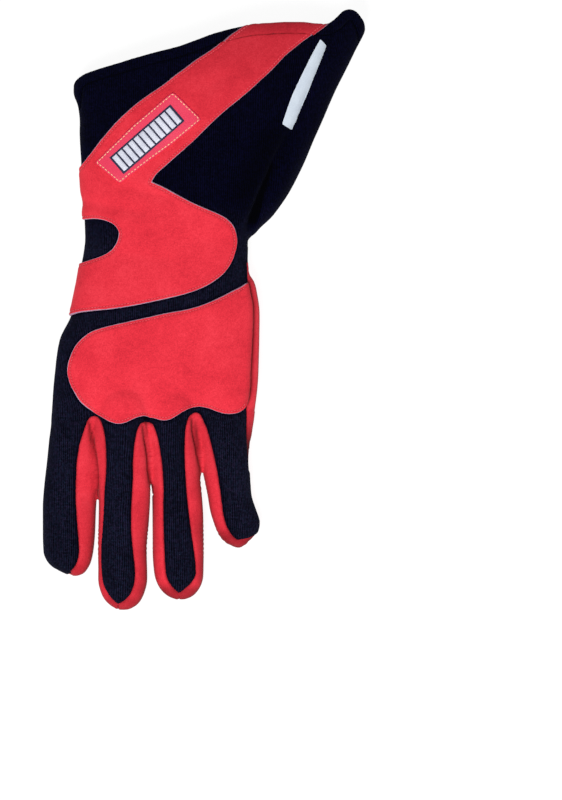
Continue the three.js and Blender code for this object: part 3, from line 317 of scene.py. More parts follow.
def ring(left, right, zbl, zbr, ztl, ztr, bow, lean, sides):
    turn = 2 * np.pi * np.arange(sides) / sides
    fullness = np.where(np.sin(turn) >= 0, BACK_ROUND, REST_ROUND)
    u, v = arc(np.cos(turn), fullness), arc(np.sin(turn), fullness)
    k = (u + 1) / 2
    along = (right - left) / np.linalg.norm(right - left)
    across = np.array([-along[1], along[0]])
    low, high = zbl + (zbr - zbl) * k, ztl + (ztr - ztl) * k
    edge = low + (high - low) * EDGE_HEIGHT
    xy = left + np.outer(k, right - left) + np.outer(bow * (1 - u * u) + lean * v, across)
    return np.column_stack([xy, edge + v * np.where(v >= 0, high - edge, edge - low)])


def loft(rings):
    n, count = len(rings[0]), len(rings)
    points = np.vstack(rings + [rings[0].mean(0)[None], rings[-1].mean(0)[None]])
    i = np.arange(n)
    j = (i + 1) % n
    faces = [np.stack([r * n + i, r * n + j, (r + 1) * n + j, (r + 1) * n + i], 1) for r in range(count - 1)]
    quads = np.vstack(faces)
    tris = np.vstack([quads[:, [0, 1, 2]], quads[:, [0, 2, 3]],
                      np.stack([np.full(n, count * n), j, i], 1),
                      np.stack([np.full(n, count * n + 1), (count - 1) * n + i, (count - 1) * n + j], 1)])
    a, b, c = points[tris[:, 0]], points[tris[:, 1]], points[tris[:, 2]]
    if (a * np.cross(b, c)).sum() < 0:
        tris = tris[:, ::-1]
    return points, tris


HAND_T = np.arange(len(HAND), dtype=float)
HAND_FINE = np.linspace(0, len(HAND) - 1, 420)
HAND_COLS = [pchip(HAND_T, [row[c] for row in HAND], HAND_FINE) for c in range(10)]


def hand_form():
    rings = []
    for t in np.linspace(0, len(HAND) - 1, 150):
        row = [np.interp(t, HAND_FINE, c) for c in HAND_COLS]
        rings.append(ring(np.array(row[0:2]), np.array(row[2:4]), *row[4:10], 128))
    return loft(rings)


def digit_form(rows):
    y = np.array([r[0] for r in rows])
    cols = [[r[c] for r in rows] for c in range(1, 5)]
    at = np.unique(np.concatenate([np.linspace(y[0], y[-3], 60), np.linspace(y[-3], y[-1], 16)]))[::-1]
    xl, xr, zb, zt = [pchip(-y, c, -at) for c in cols]
    # the last sections close like an ellipse
    return loft([ring(np.array([a, q]), np.array([b, q]), lo, lo, hi, hi, 0, 0, 72) for q, a, b, lo, hi in zip(at, xl, xr, zb, zt)])


def thumb_form():
    y = np.array([r[0] for r in THUMB])
    cols = [[r[c] for r in THUMB] for c in range(1, 6)]
    at = np.unique(np.concatenate([np.linspace(y[0], y[-3], 60), np.linspace(y[-3], y[-1], 16)]))[::-1]
    xl, xr, zb, zl, zr = [pchip(-y, c, -at) for c in cols]
    return loft([ring(np.array([a, q]), np.array([b, q]), lo, lo, l, r, 0, 0, 80) for q, a, b, lo, l, r in zip(at, xl, xr, zb, zl, zr)])


def joined(forms):
    points, faces, offset = [], [], 0
    for p, f in forms:
        points.append(p)
        faces.append(f + offset)
        offset += len(p)
    return np.vstack(points), np.vstack(faces)


def plain_mesh(name, points, faces):
    mesh = bpy.data.meshes.new(name)
    mesh.from_pydata(points.tolist(), [], faces.tolist())
    return mesh


def remeshed(points, faces, voxel):
    """One skin round all the forms, on an even grid."""
    mesh = plain_mesh("form", points, faces)
    obj = bpy.data.objects.new("form", mesh)
    bpy.context.scene.collection.objects.link(obj)
    mod = obj.modifiers.new("r", "REMESH")
    mod.mode, mod.voxel_size, mod.adaptivity, mod.use_smooth_shade = "VOXEL", voxel, 0, False
    deps = bpy.context.evaluated_depsgraph_get()
    made = bpy.data.meshes.new_from_object(obj.evaluated_get(deps))
    v = np.zeros(len(made.vertices) * 3, np.float32)
    made.vertices.foreach_get("co", v)
    made.calc_loop_triangles()
    f = np.zeros(len(made.loop_triangles) * 3, np.int32)
    made.loop_triangles.foreach_get("vertices", f)
    bpy.data.objects.remove(obj)
    bpy.data.meshes.remove(mesh)
    bpy.data.meshes.remove(made)
    return v.reshape(-1, 3).astype(float), f.reshape(-1, 3).astype(np.int64)


def edges_of(f):
    e = np.sort(np.vstack([f[:, [0, 1]], f[:, [1, 2]], f[:, [2, 0]]]), 1)
    return np.unique(e, axis=0)


def smoothed(v, f, rounds, weight=None):
    """Taubin smoothing, which keeps the volume."""
    e = edges_of(f)
    n = len(v)
    count = np.bincount(e.ravel(), minlength=n)[:, None]
    for i in range(rounds):
        for amount in (0.5, -0.52):
            total = np.stack([np.bincount(e[:, 0], v[e[:, 1], k], n) + np.bincount(e[:, 1], v[e[:, 0], k], n) for k in range(3)], 1)
            move = amount * (total / np.maximum(count, 1) - v)
            v = v + (move if weight is None else move * weight[:, None])
    return v


def normals_of(v, f):
    a, b, c = v[f[:, 0]], v[f[:, 1]], v[f[:, 2]]
    n = np.cross(b - a, c - a)
    total = np.stack([sum(np.bincount(f[:, i], n[:, k], len(v)) for i in range(3)) for k in range(3)], 1)
    return total / np.maximum(np.linalg.norm(total, axis=1), 1e-12)[:, None]


# ---- a skin that can be cut along its seams ----
class Skin:
    def __init__(self, v, f, fields):
        self.v, self.f = v, f
        self.names = {name: i for i, name in enumerate(fields)}
        self.a = np.column_stack(list(fields.values()))

    def get(self, name):
        return self.a[:, self.names[name]]

    def set(self, name, values):
        if name in self.names:
            self.a[:, self.names[name]] = values
        else:
            self.names[name] = self.a.shape[1]
            self.a = np.column_stack([self.a, values])

    def cut(self, name, level=0.0):
        """Splits the faces where the field passes the level."""
        col = self.names[name]
        d = self.a[:, col] - level
        close = np.abs(d) < SNAP
        self.a[close, col] = level
        d = np.where(close, 0.0, d)
        sign = np.sign(d)
        s = sign[self.f]
        crossing = (s.min(1) < 0) & (s.max(1) > 0)
        if not crossing.any():
            return
        keep, g, s = self.f[~crossing], self.f[crossing], s[crossing]
        zero = (s == 0).any(1)
        first = np.where(zero, np.argmax(s == 0, axis=1), 0)
        odd = np.sign(s.sum(1))
        lone = np.argmax(s == -odd[:, None], axis=1)
        first = np.where(zero, first, lone)
        order = (first[:, None] + np.arange(3)) % 3
        g = np.take_along_axis(g, order, 1)
        one, two = g[zero], g[~zero]
        pairs = np.vstack([one[:, [1, 2]], two[:, [0, 1]], two[:, [0, 2]]])
        pairs.sort(axis=1)
        unique, back = np.unique(pairs, axis=0, return_inverse=True)
        back = back.ravel() + len(self.v)
        d0, d1 = d[unique[:, 0]], d[unique[:, 1]]
        t = (d0 / (d0 - d1))[:, None]
        self.v = np.vstack([self.v, self.v[unique[:, 0]] * (1 - t) + self.v[unique[:, 1]] * t])
        new = self.a[unique[:, 0]] * (1 - t) + self.a[unique[:, 1]] * t
        new[:, col] = level
        self.a = np.vstack([self.a, new])
        n1, n2 = len(one), len(two)
        p = back[:n1]
        a, b = back[n1:n1 + n2], back[n1 + n2:]
        parts = [keep]
        if n1:
            parts += [np.stack([one[:, 0], one[:, 1], p], 1), np.stack([one[:, 0], p, one[:, 2]], 1)]
        if n2:
            parts += [np.stack([two[:, 0], a, b], 1), np.stack([a, two[:, 1], two[:, 2]], 1), np.stack([a, two[:, 2], b], 1)]
        self.f = np.vstack(parts)

    def side(self, name, level=0.0):
        """For each face, whether it lies where the field is under the level."""
        return (self.get(name)[self.f] - level).sum(1) < 0

    def part(self, faces):
        used, f = np.unique(self.f[faces], return_inverse=True)
        made = Skin.__new__(Skin)
        made.v, made.f, made.a, made.names = self.v[used], f.reshape(-1, 3), self.a[used], dict(self.names)
        return made


# ---- the skin of the hand, its fingers and the cuff ----
forms = [hand_form()] + [digit_form(rows) for rows in DIGITS.values()]
V, F = remeshed(*joined(forms), VOXEL)
V = smoothed(V, F, 14)
soften = step(-64, -56, V[:, 1]) * (1 - step(-46, -34, V[:, 1])) * step(-0.2, 0.5, normals_of(V, F)[:, 2])
V = smoothed(V, F, 26, soften)


def section_of(q):
    """For each point, the section of the hand that it lies on: its number and its place across, -1 to 1."""
    lo, hi = np.zeros(len(q)), np.full(len(q), len(HAND) - 1.0)
    for _ in range(18):
        t = (lo + hi) / 2
        g, _ = past_section(q, t)
        lo, hi = np.where(g < 0, t, lo), np.where(g < 0, hi, t)
    return (lo + hi) / 2, past_section(q, (lo + hi) / 2)[1]


def past_section(q, t):
    xl, yl, xr, yr, bow = (np.interp(t, HAND_FINE, HAND_COLS[c]) for c in (0, 1, 2, 3, 8))
    ax, ay = xr - xl, yr - yl
    w = np.hypot(ax, ay)
    ax, ay = ax / w, ay / w
    rx, ry = q[:, 0] - xl, q[:, 1] - yl
    u = np.clip(2 * (rx * ax + ry * ay) / w - 1, -1, 1)
    return -ay * rx + ax * ry - bow * (1 - u * u), u


def measures(v):
    """Height over the widest line, and the fabric's own coordinates, across and along."""
    q = v[:, :2]
    t, u = section_of(q)
    col = [np.interp(t, HAND_FINE, HAND_COLS[c]) for c in range(10)]
    k = (u + 1) / 2
    low, high = col[4] + (col[5] - col[4]) * k, col[6] + (col[7] - col[6]) * k
    hand_mid = low + (high - low) * EDGE_HEIGHT
    left, right, crown = col[0], col[2], high
    # the fingers
    centres, mids, lefts, rights, tops = [], [], [], [], []
    for rows in DIGITS.values():
        y = -np.array([r[0] for r in rows])
        c = [pchip(y, [r[i] for r in rows], np.clip(-v[:, 1], y[0], y[-1])) for i in range(1, 5)]
        centres.append((c[0] + c[1]) / 2)
        mids.append(c[2] + (c[3] - c[2]) * EDGE_HEIGHT)
        lefts.append(c[0]); rights.append(c[1]); tops.append(c[3])
    centres, mids, lefts, rights, tops = (np.array(x) for x in (centres, mids, lefts, rights, tops))
    x = v[:, 0]
    mid = np.where(x < centres[0], mids[0], mids[-1])
    for i in range(3):
        s = np.clip((x - centres[i]) / (centres[i + 1] - centres[i]), 0, 1)
        here = (x >= centres[i]) & (x < centres[i + 1])
        mid = np.where(here, mids[i] + (mids[i + 1] - mids[i]) * s, mid)
    which = np.argmin(np.abs(centres - x[None, :]), axis=0)
    pick = np.arange(len(v))
    blend = step(0, 1, (-46.0 - v[:, 1]) / 16.0)
    zmid = hand_mid * (1 - blend) + mid * blend
    on_finger = v[:, 1] < -60
    left = np.where(on_finger, lefts[which, pick], left)
    right = np.where(on_finger, rights[which, pick], right)
    crown = np.where(on_finger, tops[which, pick], crown)
    centre = (left + right) / 2
    side = np.where(x >= centre, 1.0, -1.0)
    edge = np.where(x >= centre, right, left)
    above = v[:, 2] >= zmid
    drop = 0.9 * np.maximum(crown - v[:, 2], 0)
    a = np.where(above, x + side * drop, 2 * edge - x + side * drop)
    return v[:, 2] - zmid, a, v[:, 1].copy(), which, t, u


zrel, fab_a, fab_b, finger, sec, across = measures(V)
N0 = normals_of(V, F)
flat_under = N0[:, 2] < -0.75
fab_a = np.where(flat_under, V[:, 0], fab_a)
Q = V[:, :2]


def closed(*runs):
    return np.vstack([curve(r) if len(r) > 2 else np.array(r, float) for r in runs])


mouth_area = closed([(-200.0, 107.9), (-200.0, -300.0)], [(200.0, -300.0), (200.0, 141.8)], MOUTH[::-1])
mouth = region(mouth_area, Q, 60)
slope = (32.0 - 17.2) / 89.0
wrist = (Q[:, 1] - (17.2 + slope * (Q[:, 0] + 66.0))) / math.hypot(1, slope)
cuff_right = region(closed(CUFF_SEAM, [(130.0, 10.0), (130.0, 160.0)]), Q, 60)
cuff = np.minimum(zrel, np.maximum(cuff_right, -zrel - 8))
back_area = closed([(-FAR, 60.0), (-FAR, -152.0)], [(-72.4, -152.0), (-71.6, -143.5)], INDEX_SIDE, MIDDLE_SIDE, RING_SIDE,
                   LITTLE_SIDE, [(60.0, -110.0), (60.0, -88.0)], PALM_EDGE[::-1], [(60.0, 24.0), (60.0, 60.0)])
knit_under = region(closed([(-FAR, 34.0)], KNIT_EDGE, [(-FAR, -150.0)]), Q, 60)
wrap = 6.0 * step(15.0, 21.0, Q[:, 1]) * (Q[:, 0] > 0)
back = np.minimum(np.maximum(region(back_area, Q, 60), -zrel - wrap), np.maximum(knit_under, zrel - 8))


def fronts_outline():
    points = [(-FAR, 60.0), (-FAR, -152.0), (-90.0, -170.0)]
    names = list(DIGITS)
    crotches = [-94.0, -95.0, -88.0]
    for n, name in enumerate(names):
        rows = [r for r in DIGITS[name] if r[0] < -60][:-1]
        if n:
            lefts = [(r[5], r[0]) for r in rows if r[0] < crotches[n - 1] - 2]
            points += lefts
            points.append((lefts[-1][0], -172.0))
        if n < 3:
            rights = [(r[6], r[0]) for r in rows if r[0] < crotches[n] - 2]
            points.append((rights[-1][0], -172.0))
            points += rights[::-1]
            nxt = [(r[5], r[0]) for r in DIGITS[names[n + 1]] if r[0] < crotches[n] - 2][0]
            middle, wide = (rights[0][0] + nxt[0]) / 2, (nxt[0] - rights[0][0]) / 2
            top = max(rights[0][1], nxt[1])
            for turn in (150, 120, 90, 60, 30):
                points.append((middle + wide * math.cos(math.radians(turn)), top + 2 + 3.0 * math.sin(math.radians(turn))))
    points += [(60.0, -172.0), (60.0, 60.0)]
    return np.array(points)


front = region(fronts_outline(), Q, 60)
palm_top = region(closed(PALM_EDGE, [(60.0, -86.0), (60.0, 22.0)]), Q, 60)
palm = np.minimum(np.maximum(front, zrel + 0.8), np.maximum(palm_top, -zrel - 8))
heel = np.maximum(region(closed([(-FAR, 46.0)], HEEL, [(-FAR, -54.0)]), Q, 60), zrel)
band_area = closed(BAND_LEFT, BAND_NOTCH, BAND_LOW, BAND_RIGHT)
band_under = np.minimum(-zrel - 3.0, np.maximum(np.maximum(Q[:, 0] + 61.5, Q[:, 1] - 26.0), -8.0 - Q[:, 1]))
band = np.maximum(region(band_area, Q, 40), band_under)
knuckles = np.maximum(region(closed(KNUCKLES), Q, 40), -zrel)
_, badge_own = plate(BADGE, Q)
badge = region(np.array(BADGE_CORNERS), Q, 20)
badge = np.maximum(badge, -zrel)
_, tag_own = plate(TAG, Q)
tag = region(np.array(TAG_CORNERS), Q, 20)
tag = np.maximum(tag, -zrel)
pad = np.maximum(region(loop(PALM_PAD), Q, 40), zrel + 1.0)
crotch_pad = np.maximum(region(loop(CROTCH_PAD), Q, 40), zrel + 0.5)

skin = Skin(V, F, {
    "mouth": mouth, "wrist": wrist, "cuff": cuff, "back": back, "palm": palm, "heel": heel, "band": band,
    "knuckles": knuckles, "badge": badge, "tag": tag, "pad": pad, "crotch_pad": crotch_pad, "zrel": zrel,
    "tip_middle": V[:, 0] - TIP_SEAMS["middle"], "tip_ring": V[:, 0] - TIP_SEAMS["ring"],
    "fa": fab_a, "fb": fab_b, "sec": sec, "across": across, "nx": N0[:, 0], "ny": N0[:, 1], "nz": N0[:, 2],
    "bu": badge_own[:, 0], "bv": badge_own[:, 1], "tu": tag_own[:, 0], "tv": tag_own[:, 1], "cuff_right": cuff_right,
})
SEAM_LOOPS = (0.0, -0.5, 0.5, -1.1, 1.1, 1.7)
for name in ("back", "cuff", "wrist"):
    for level in SEAM_LOOPS:
        skin.cut(name, level)
for name in ("palm", "heel"):
    for level in (0.0, -0.6, 0.6):
        skin.cut(name, level)
for level in (0.0, -0.4, -0.9, -1.5, 0.9 - HEM, 0.45 - HEM, -HEM, -0.45 - HEM, -0.9 - HEM):
    skin.cut("mouth", level)
skin.cut("tip_middle")
skin.cut("tip_ring")
skin = skin.part(skin.side("mouth"))

g = {n: skin.get(n) for n in skin.names}
N = np.column_stack([g["nx"], g["ny"], g["nz"]])
N /= np.linalg.norm(N, axis=1)[:, None]
X, Y, Z = skin.v.T
on_hand, on_cuff = g["wrist"] < 0, g["wrist"] >= 0
from_mouth = -g["mouth"]


def groove(d, depth, width=1.4):
    return depth * np.clip(1 - np.abs(d) / width, 0, 1) ** 2


# ---- how the cloth lies ----
lift = np.zeros(len(X))
under_patch = step(-0.4, 1.6, g["band"]) * step(-0.4, 1.6, g["knuckles"])
top = np.clip(g["zrel"] / 4 + 1, 0, 1)
hand_w = (g["wrist"] < 0.3).astype(float)
plain_side = step(14, 19, X) * step(2, 10, Y) * step(-6, -2, g["zrel"])
lift -= groove(g["back"], 1.15, 1.7) * hand_w * (1 - top * (1 - under_patch)) * (1 - plain_side)
lift -= groove(g["palm"], 0.6) * hand_w * (g["back"] > 0.6)
lift -= groove(g["heel"], 0.6) * hand_w * (g["back"] > 0.6) * (g["zrel"] < 0)
lift -= groove(g["wrist"], 0.5) * under_patch * (1 - plain_side)
lift -= groove(g["cuff"], 0.55) * (g["wrist"] > -0.3) * (from_mouth > HEM)
# the knit backs of the fingers stand a little proud of their suede sides
proud = np.clip(-g["back"] / 2.5, 0, 1)
lift += 0.9 * proud * (2 - proud) * hand_w * np.clip((-56 - Y) / 14, 0, 1) * top
# the palm's suede comes round the side of the hand as a soft roll
roll_d = -g["palm"]
lift += 0.7 * np.sin(np.pi * np.clip(roll_d / 4.4, 0, 1)) * np.clip((X - 20) / 3, 0, 1) * (Y > -90) * top * hand_w
# creases where neighbouring fingers touch, the one on the right lying over the other
shade = np.zeros(len(X))
for line in CREASES:
    fine = curve(line)
    order = np.argsort(fine[:, 1])
    off = X - np.interp(Y, fine[order, 1], fine[order, 0])
    along = np.clip((fine[0, 1] + 1.5 - Y) / 9, 0, 1) * np.clip((Y - fine[-1, 1]) / 8, 0, 1)
    hollow = np.where(off < 0, 0.35 * np.exp(-((off / 2.4) ** 2)) + 0.65 * np.exp(-((off / 1.0) ** 2)), np.exp(-((off / 0.55) ** 2)))
    lift -= 1.8 * hollow * along * top
    # painted shade in the crease: wide and soft on the left tube, a thin dark line on the right
    dark = np.where(off < 0, 0.38 * np.exp(-((off / 2.3) ** 2)) + 0.42 * np.exp(-((off / 0.8) ** 2)), 0.80 * np.exp(-((off / 0.35) ** 2)))
    shade = np.maximum(shade, dark * np.clip((fine[0, 1] + 1.5 - Y) / 3, 0, 1) * np.clip((Y - fine[-1, 1] + 5) / 4, 0, 1) * top)
# valley along the cuff's seam, below the tag, and the roll of cloth beside it
seam_d = g["cuff_right"]
fade = step(36, 50, Y) * (1 - step(74, 100, Y))
lift -= 5.0 * np.exp(-((seam_d - 1.3) / 2.4) ** 2) * fade * top
lift += 1.3 * np.exp(-((seam_d + 7.0) / 4.5) ** 2) * fade * top
fade = step(70, 96, Y) * (1 - step(150, 156, Y))
lift -= 1.4 * np.exp(-((seam_d - 0.2) / 2.2) ** 2) * fade * top
# the folded hem: a roll with a stitched line, and its round edge
is_hem = from_mouth < HEM
lift += 0.55 * np.clip((HEM - from_mouth) / 1.2, 0, 1) * is_hem * np.clip(np.abs(g["nz"]) * 2.5 - 0.5, 0, 1)
lift -= groove(from_mouth - HEM, 0.7, 1.3) * np.clip(np.abs(g["nz"]) * 2.5 - 0.3, 0, 1)
ROLL = 1.5
d = np.clip(from_mouth / ROLL, 0, 1)
rim = ROLL * (1 - np.sqrt(np.maximum(1 - (1 - d) ** 2, 0)))
# soft unevenness of cloth that lies flat
soft = noise(skin.v, 34, 3) * 0.75 + noise(skin.v, 15, 5) * 0.28
calm = np.where(Y < -55, 0.45, 1.0) * np.clip(from_mouth / 8 + 0.3, 0, 1)
lift += soft * calm * (g["nz"] > -0.6)
# broad shallow folds over the wrist and on the band
for (ax, ay), (bx, by), depth, width in (((-64, 56), (-34, 51), 0.9, 3.2), ((-60, 30), (-20, 26), 0.5, 4.0),
                                         ((-44, 64), (-18, 58), 0.7, 3.0), ((2, 118), (22, 127), 0.7, 4.0),
                                         ((-8, 104), (8, 122), 0.5, 4.0), ((-66, 100), (-30, 118), 0.8, 5.0),
                                         ((-15, 84), (30, 92), 0.7, 6.0), ((10, 60), (32, 80), 0.9, 6.0)):
    d = to_line(np.array([(ax, ay), (bx, by)], float), skin.v[:, :2])
    lift -= depth * np.exp(-((d / width) ** 2)) * top
# fine wrinkles across the finger sides
bend = np.zeros(len(X))
for y0, w in ((-95, 5), (-120, 5), (-128, 4), (-74, 4)):
    bend += np.exp(-(((Y - y0) / w) ** 2))
lift += 0.14 * np.sin(Y * 2.6 + 2.2 * noise(skin.v, 6, 8)) * bend * (Y < -60) * top * (g["back"] > 0)
for name in ("tip_middle", "tip_ring"):
    here = np.clip((-151 - Y) / 3, 0, 1) * (g["back"] > 0.3)
    lift -= 0.45 * np.clip(1 - np.abs(g[name]) / 1.0, 0, 1) ** 2 * here
    # painted shade in the fingertip seam
    shade = np.maximum(shade, 0.8 * np.exp(-((g[name] / 0.5) ** 2)) * here)
# gathers round the wrist, on the palm side: tight on either side of the seam, then long soft folds in the cuff
below = np.clip(-g["zrel"] / 5, 0, 1)
sway = X + 1.4 * noise(skin.v, 9, 11) + 0.10 * g["wrist"] * noise(skin.v, 26, 12)
gather = (np.exp(-(((g["wrist"] + 1.0) / 8.5) ** 2))) * below
fold = (0.5 + 0.5 * np.cos(2 * np.pi * sway / 5.4)) ** 1.4
soft_fold = (0.5 + 0.5 * np.cos(2 * np.pi * (sway + 0.25 * g["wrist"]) / 17 + 1.0)) ** 2
trail = step(2, 10, g["wrist"]) * (1 - step(14, 46, g["wrist"])) * below
lift -= 2.5 * gather * fold + 1.5 * trail * soft_fold
for level in (-1.2, 3.2):
    lift -= 0.8 * np.exp(-(((g["wrist"] - level) / 0.9) ** 2)) * below * (X > -62)
lift = np.where(g["nz"] < -0.6, np.minimum(lift, 0), lift)

P_roll = skin.v + N * (lift - rim)[:, None]
P_roll[:, 2] = np.maximum(P_roll[:, 2], 0.02)
N_cloth = normals_of(P_roll, skin.f)
skin.set("px", P_roll[:, 0]); skin.set("py", P_roll[:, 1]); skin.set("pz", P_roll[:, 2])
skin.set("cx", N_cloth[:, 0]); skin.set("cy", N_cloth[:, 1]); skin.set("cz", N_cloth[:, 2])
skin.set("rim", rim)

# painted shade: how much darker the cloth is painted in its seams, under the patches' edges, in its folds and where it
# turns from the light
seam = np.abs(g["back"])
beside = np.where(g["back"] < 0, 0.97 * np.exp(-((seam / 1.5) ** 2)), 0.45 * np.exp(-((seam / 0.4) ** 2)))
shade = np.maximum(shade, beside * hand_w * (1 - top * (1 - under_patch)))
# painted shadow on the knit under the edges of the band and knuckle patches
for name in ("band", "knuckles"):
    d = g[name]
    shade = np.maximum(shade, np.where(d > -0.5, 0.97 * np.exp(-((np.maximum(d, 0) / 1.1) ** 2)), 0))
# the cuff knit painted darker toward its mouth, partly its own darker colour and partly painted shade; a near-black
# painted shade in the fold below the tag
fold_wide = 1.4 + 1.9 * (1 - step(46, 80, Y))
tone = 0.78 * step(22, 60, Y) + 0.14 * step(36, 66, Y) * (1 - step(84, 108, Y)) * np.exp(-(((seam_d - 9) / 9) ** 2))
shade = np.maximum(shade, tone)
shade = np.maximum(shade, 1.05 * np.exp(-((seam_d - 1.4 + 1.0 * (1 - step(46, 80, Y))) / fold_wide) ** 4) * step(34, 46, Y) * (1 - step(72, 92, Y)) * top)
# painted shade in the wrist seam, in the gathers, over the palm side of the cuff and more in its soft folds, and in the
# hem's crease
shade = np.maximum(shade, 0.7 * np.exp(-((g["wrist"] / 1.0) ** 2)) * (1 - plain_side))
shade = np.maximum(shade, 0.75 * gather * fold)
shade = np.maximum(shade, 0.55 + 0.40 * trail * soft_fold - (1 - trail))
shade = np.maximum(shade, 1.0 * np.exp(-(((from_mouth - HEM) / 0.9) ** 2)))
# painted shade on the suede strips between the fingers: a base darkening with random tone, darker on faces turned from
# the light, and low on the fingers darker on right-facing sides and lighter on left-facing ones
between = (g["back"] > 0) & (Y < -55)
low_light = 1 - step(0.05, 0.85, np.abs(g["nz"]))
sideways = 0.16 * step(96, 126, -Y) * np.clip(1.6 * N[:, 0], -0.7, 1)
shade = np.where(between, np.maximum(shade, (0.13 + 0.10 * noise(skin.v, 11, 31) + 0.50 * low_light + sideways) * step(55, 64, -Y)), shade)
# painted shade: the suede painted darker as it turns down over each fingertip
for x0, x1, end, depth in ((-90, -57.8, -141.3, 0.60), (-57.8, -28.9, -158.3, 0.68), (-28.9, 0, -153, 0.86), (0, 40, -123.8, 0.84)):
    at_tip = between & (X > x0) & (X <= x1) & (g["nz"] > -0.6)
    turned = step(-0.5, 6.5, end + 8.5 - Y) * (0.70 + 0.30 * low_light) * step(-0.6, -0.1, g["nz"])
    shade = np.where(at_tip, np.maximum(shade, depth * turned), shade)
# painted shade on the palm's suede at the side of the hand, darker toward its edge and down the little finger
side_strip = (g["back"] > 0) & (X > 19) & (Y < 25) & (Y > -100) & (g["zrel"] > -6)
side_weight = np.clip((g["zrel"] + 6) / 5, 0, 1) * np.clip((X - 19) / 2, 0, 1)
down = step(46, 84, -Y) * (1 - step(96, 108, -Y))
shade = np.where(side_strip, np.maximum(shade, (0.48 * low_light ** 2 + 0.72 * down) * side_weight), shade)
# the knit back painted a little darker, except low on the little finger
shade = np.where(on_hand & (g["back"] < 0), np.maximum(shade, 0.13 - 0.12 * step(-8, 6, X) * step(40, 56, -Y)), shade)
# painted shade in the palm and heel seams on the underside
seam_under = (g["back"] > 0.6) & (g["zrel"] < 1)
shade = np.where(seam_under, np.maximum(shade, 0.7 * np.exp(-((np.minimum(np.abs(g["palm"]), np.abs(g["heel"])) / 0.55) ** 2))), shade)
# painted shade and wear on the suede patches: the band darker toward the cuff's mouth, partly wear and partly painted
# shade of the light falling off there; a little darker on the hem past its stitched line, and a painted shade line in
# the hem's crease
wear_and_shade = 0.18 * step(60, 130, Y) + 0.16 * step(110, 140, Y) + 0.14 * step(-0.6, 0.6, HEM - from_mouth)
wear_and_shade = np.maximum(wear_and_shade, 0.62 * np.exp(-(((from_mouth - HEM) / 0.60) ** 2)))
skin.set("shade", np.clip(shade, 0, 1.0))
skin.set("wear_and_shade", np.clip(wear_and_shade, 0, 0.95))

in_hem = ~skin.side("mouth", -HEM)
in_cuff = ~skin.side("wrist") & ~in_hem
under = skin.side("cuff")
in_hand = skin.side("wrist")
in_back = in_hand & skin.side("back")
in_heel = in_hand & ~in_back & skin.side("heel")
in_palm = in_hand & ~in_back & ~in_heel & skin.side("palm")
in_strip = in_hand & ~in_back & ~in_heel & ~in_palm
at = skin.v[skin.f].mean(1)
stray = in_strip & (at[:, 0] > 19) & (at[:, 1] > -90) & (at[:, 1] < 20)
in_palm |= stray
in_strip &= ~stray
left_of_middle, left_of_ring = skin.side("tip_middle"), skin.side("tip_ring")


# ---- making pieces ----
def points_of(part):
    return np.column_stack([part.get("px"), part.get("py"), part.get("pz")])


def cloth_normals(part):
    n = np.column_stack([part.get("cx"), part.get("cy"), part.get("cz")])
    return n / np.maximum(np.linalg.norm(n, axis=1), 1e-9)[:, None]


def evened(n, f, rounds=7):
    """Normals averaged over their neighbours."""
    e = edges_of(f)
    for _ in range(rounds):
        n = n + np.stack([np.bincount(e[:, 0], n[e[:, 1], k], len(n)) + np.bincount(e[:, 1], n[e[:, 0], k], len(n)) for k in range(3)], 1)
        n = n / np.maximum(np.linalg.norm(n, axis=1), 1e-9)[:, None]
    return n


def border(f):
    """The edges that only one face uses, in that face's direction."""
    e = np.vstack([f[:, [0, 1]], f[:, [1, 2]], f[:, [2, 0]]])
    key = np.sort(e, 1)
    _, first, count = np.unique(key, axis=0, return_index=True, return_counts=True)
    return e[first[count == 1]]


def shell(outer, inner, f, extra):
    """A closed body between two layers with the same faces."""
    n = len(outer)
    b = border(f)
    rim_a = np.stack([b[:, 1], b[:, 0], b[:, 0] + n], 1)
    rim_b = np.stack([b[:, 1], b[:, 0] + n, b[:, 1] + n], 1)
    faces = np.vstack([f, f[:, ::-1] + n, rim_a, rim_b])
    kind = np.concatenate([np.zeros(len(f), int), np.ones(len(f), int), np.full(2 * len(b), 2)])
    return np.vstack([outer, inner]), faces, kind, {k: np.concatenate([a, a]) for k, a in extra.items()}


def make(name, v, f, materials, replaces=(), attributes=None, kinds=None, sharp=50):
    """A Blender object in the row frame from millimetres."""
    v = (v + np.array([SHIFT[0], SHIFT[1], 0.0])) / 1000
    mesh = bpy.data.meshes.new(name)
    mesh.vertices.add(len(v))
    mesh.vertices.foreach_set("co", v.astype(np.float32).ravel())
    mesh.loops.add(len(f) * 3)
    mesh.loops.foreach_set("vertex_index", f.astype(np.int32).ravel())
    mesh.polygons.add(len(f))
    mesh.polygons.foreach_set("loop_start", (np.arange(len(f)) * 3).astype(np.int32))
    mesh.update(calc_edges=True)
    mesh.validate()
    if attributes is not None:
        a = mesh.attributes.new("fab", "FLOAT_VECTOR", "POINT")
        a.data.foreach_set("vector", attributes.astype(np.float32).ravel())
    for m in materials:
        mesh.materials.append(m)
    if kinds is not None and len(mesh.polygons) == len(kinds):
        mesh.polygons.foreach_set("material_index", kinds.astype(np.int32))
    mesh.polygons.foreach_set("use_smooth", np.ones(len(mesh.polygons), bool))
    mesh.set_sharp_from_angle(angle=math.radians(sharp))
    obj = bpy.data.objects.new(name, mesh)
    bpy.context.scene.collection.objects.link(obj)
    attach(obj, "root")
    if replaces:
        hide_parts(*replaces)
    return obj


# fabric coordinates with a darkening attribute as third number: painted shade, and on the suede patches painted shade
# and wear
def fab_of(part, dark="shade"):
    shade = part.get(dark) if dark in part.names else np.zeros(len(part.v))
    return np.column_stack([part.get("fa"), part.get("fb"), shade])


# ---- materials ----
def shader(name):
    m = bpy.data.materials.new(name)
    m.use_nodes = True
    nt = m.node_tree
    nt.nodes.clear()
    out = nt.nodes.new("ShaderNodeOutputMaterial")
    b = nt.nodes.new("ShaderNodeBsdfPrincipled")
    nt.links.new(b.outputs["BSDF"], out.inputs["Surface"])
    return m, nt, b


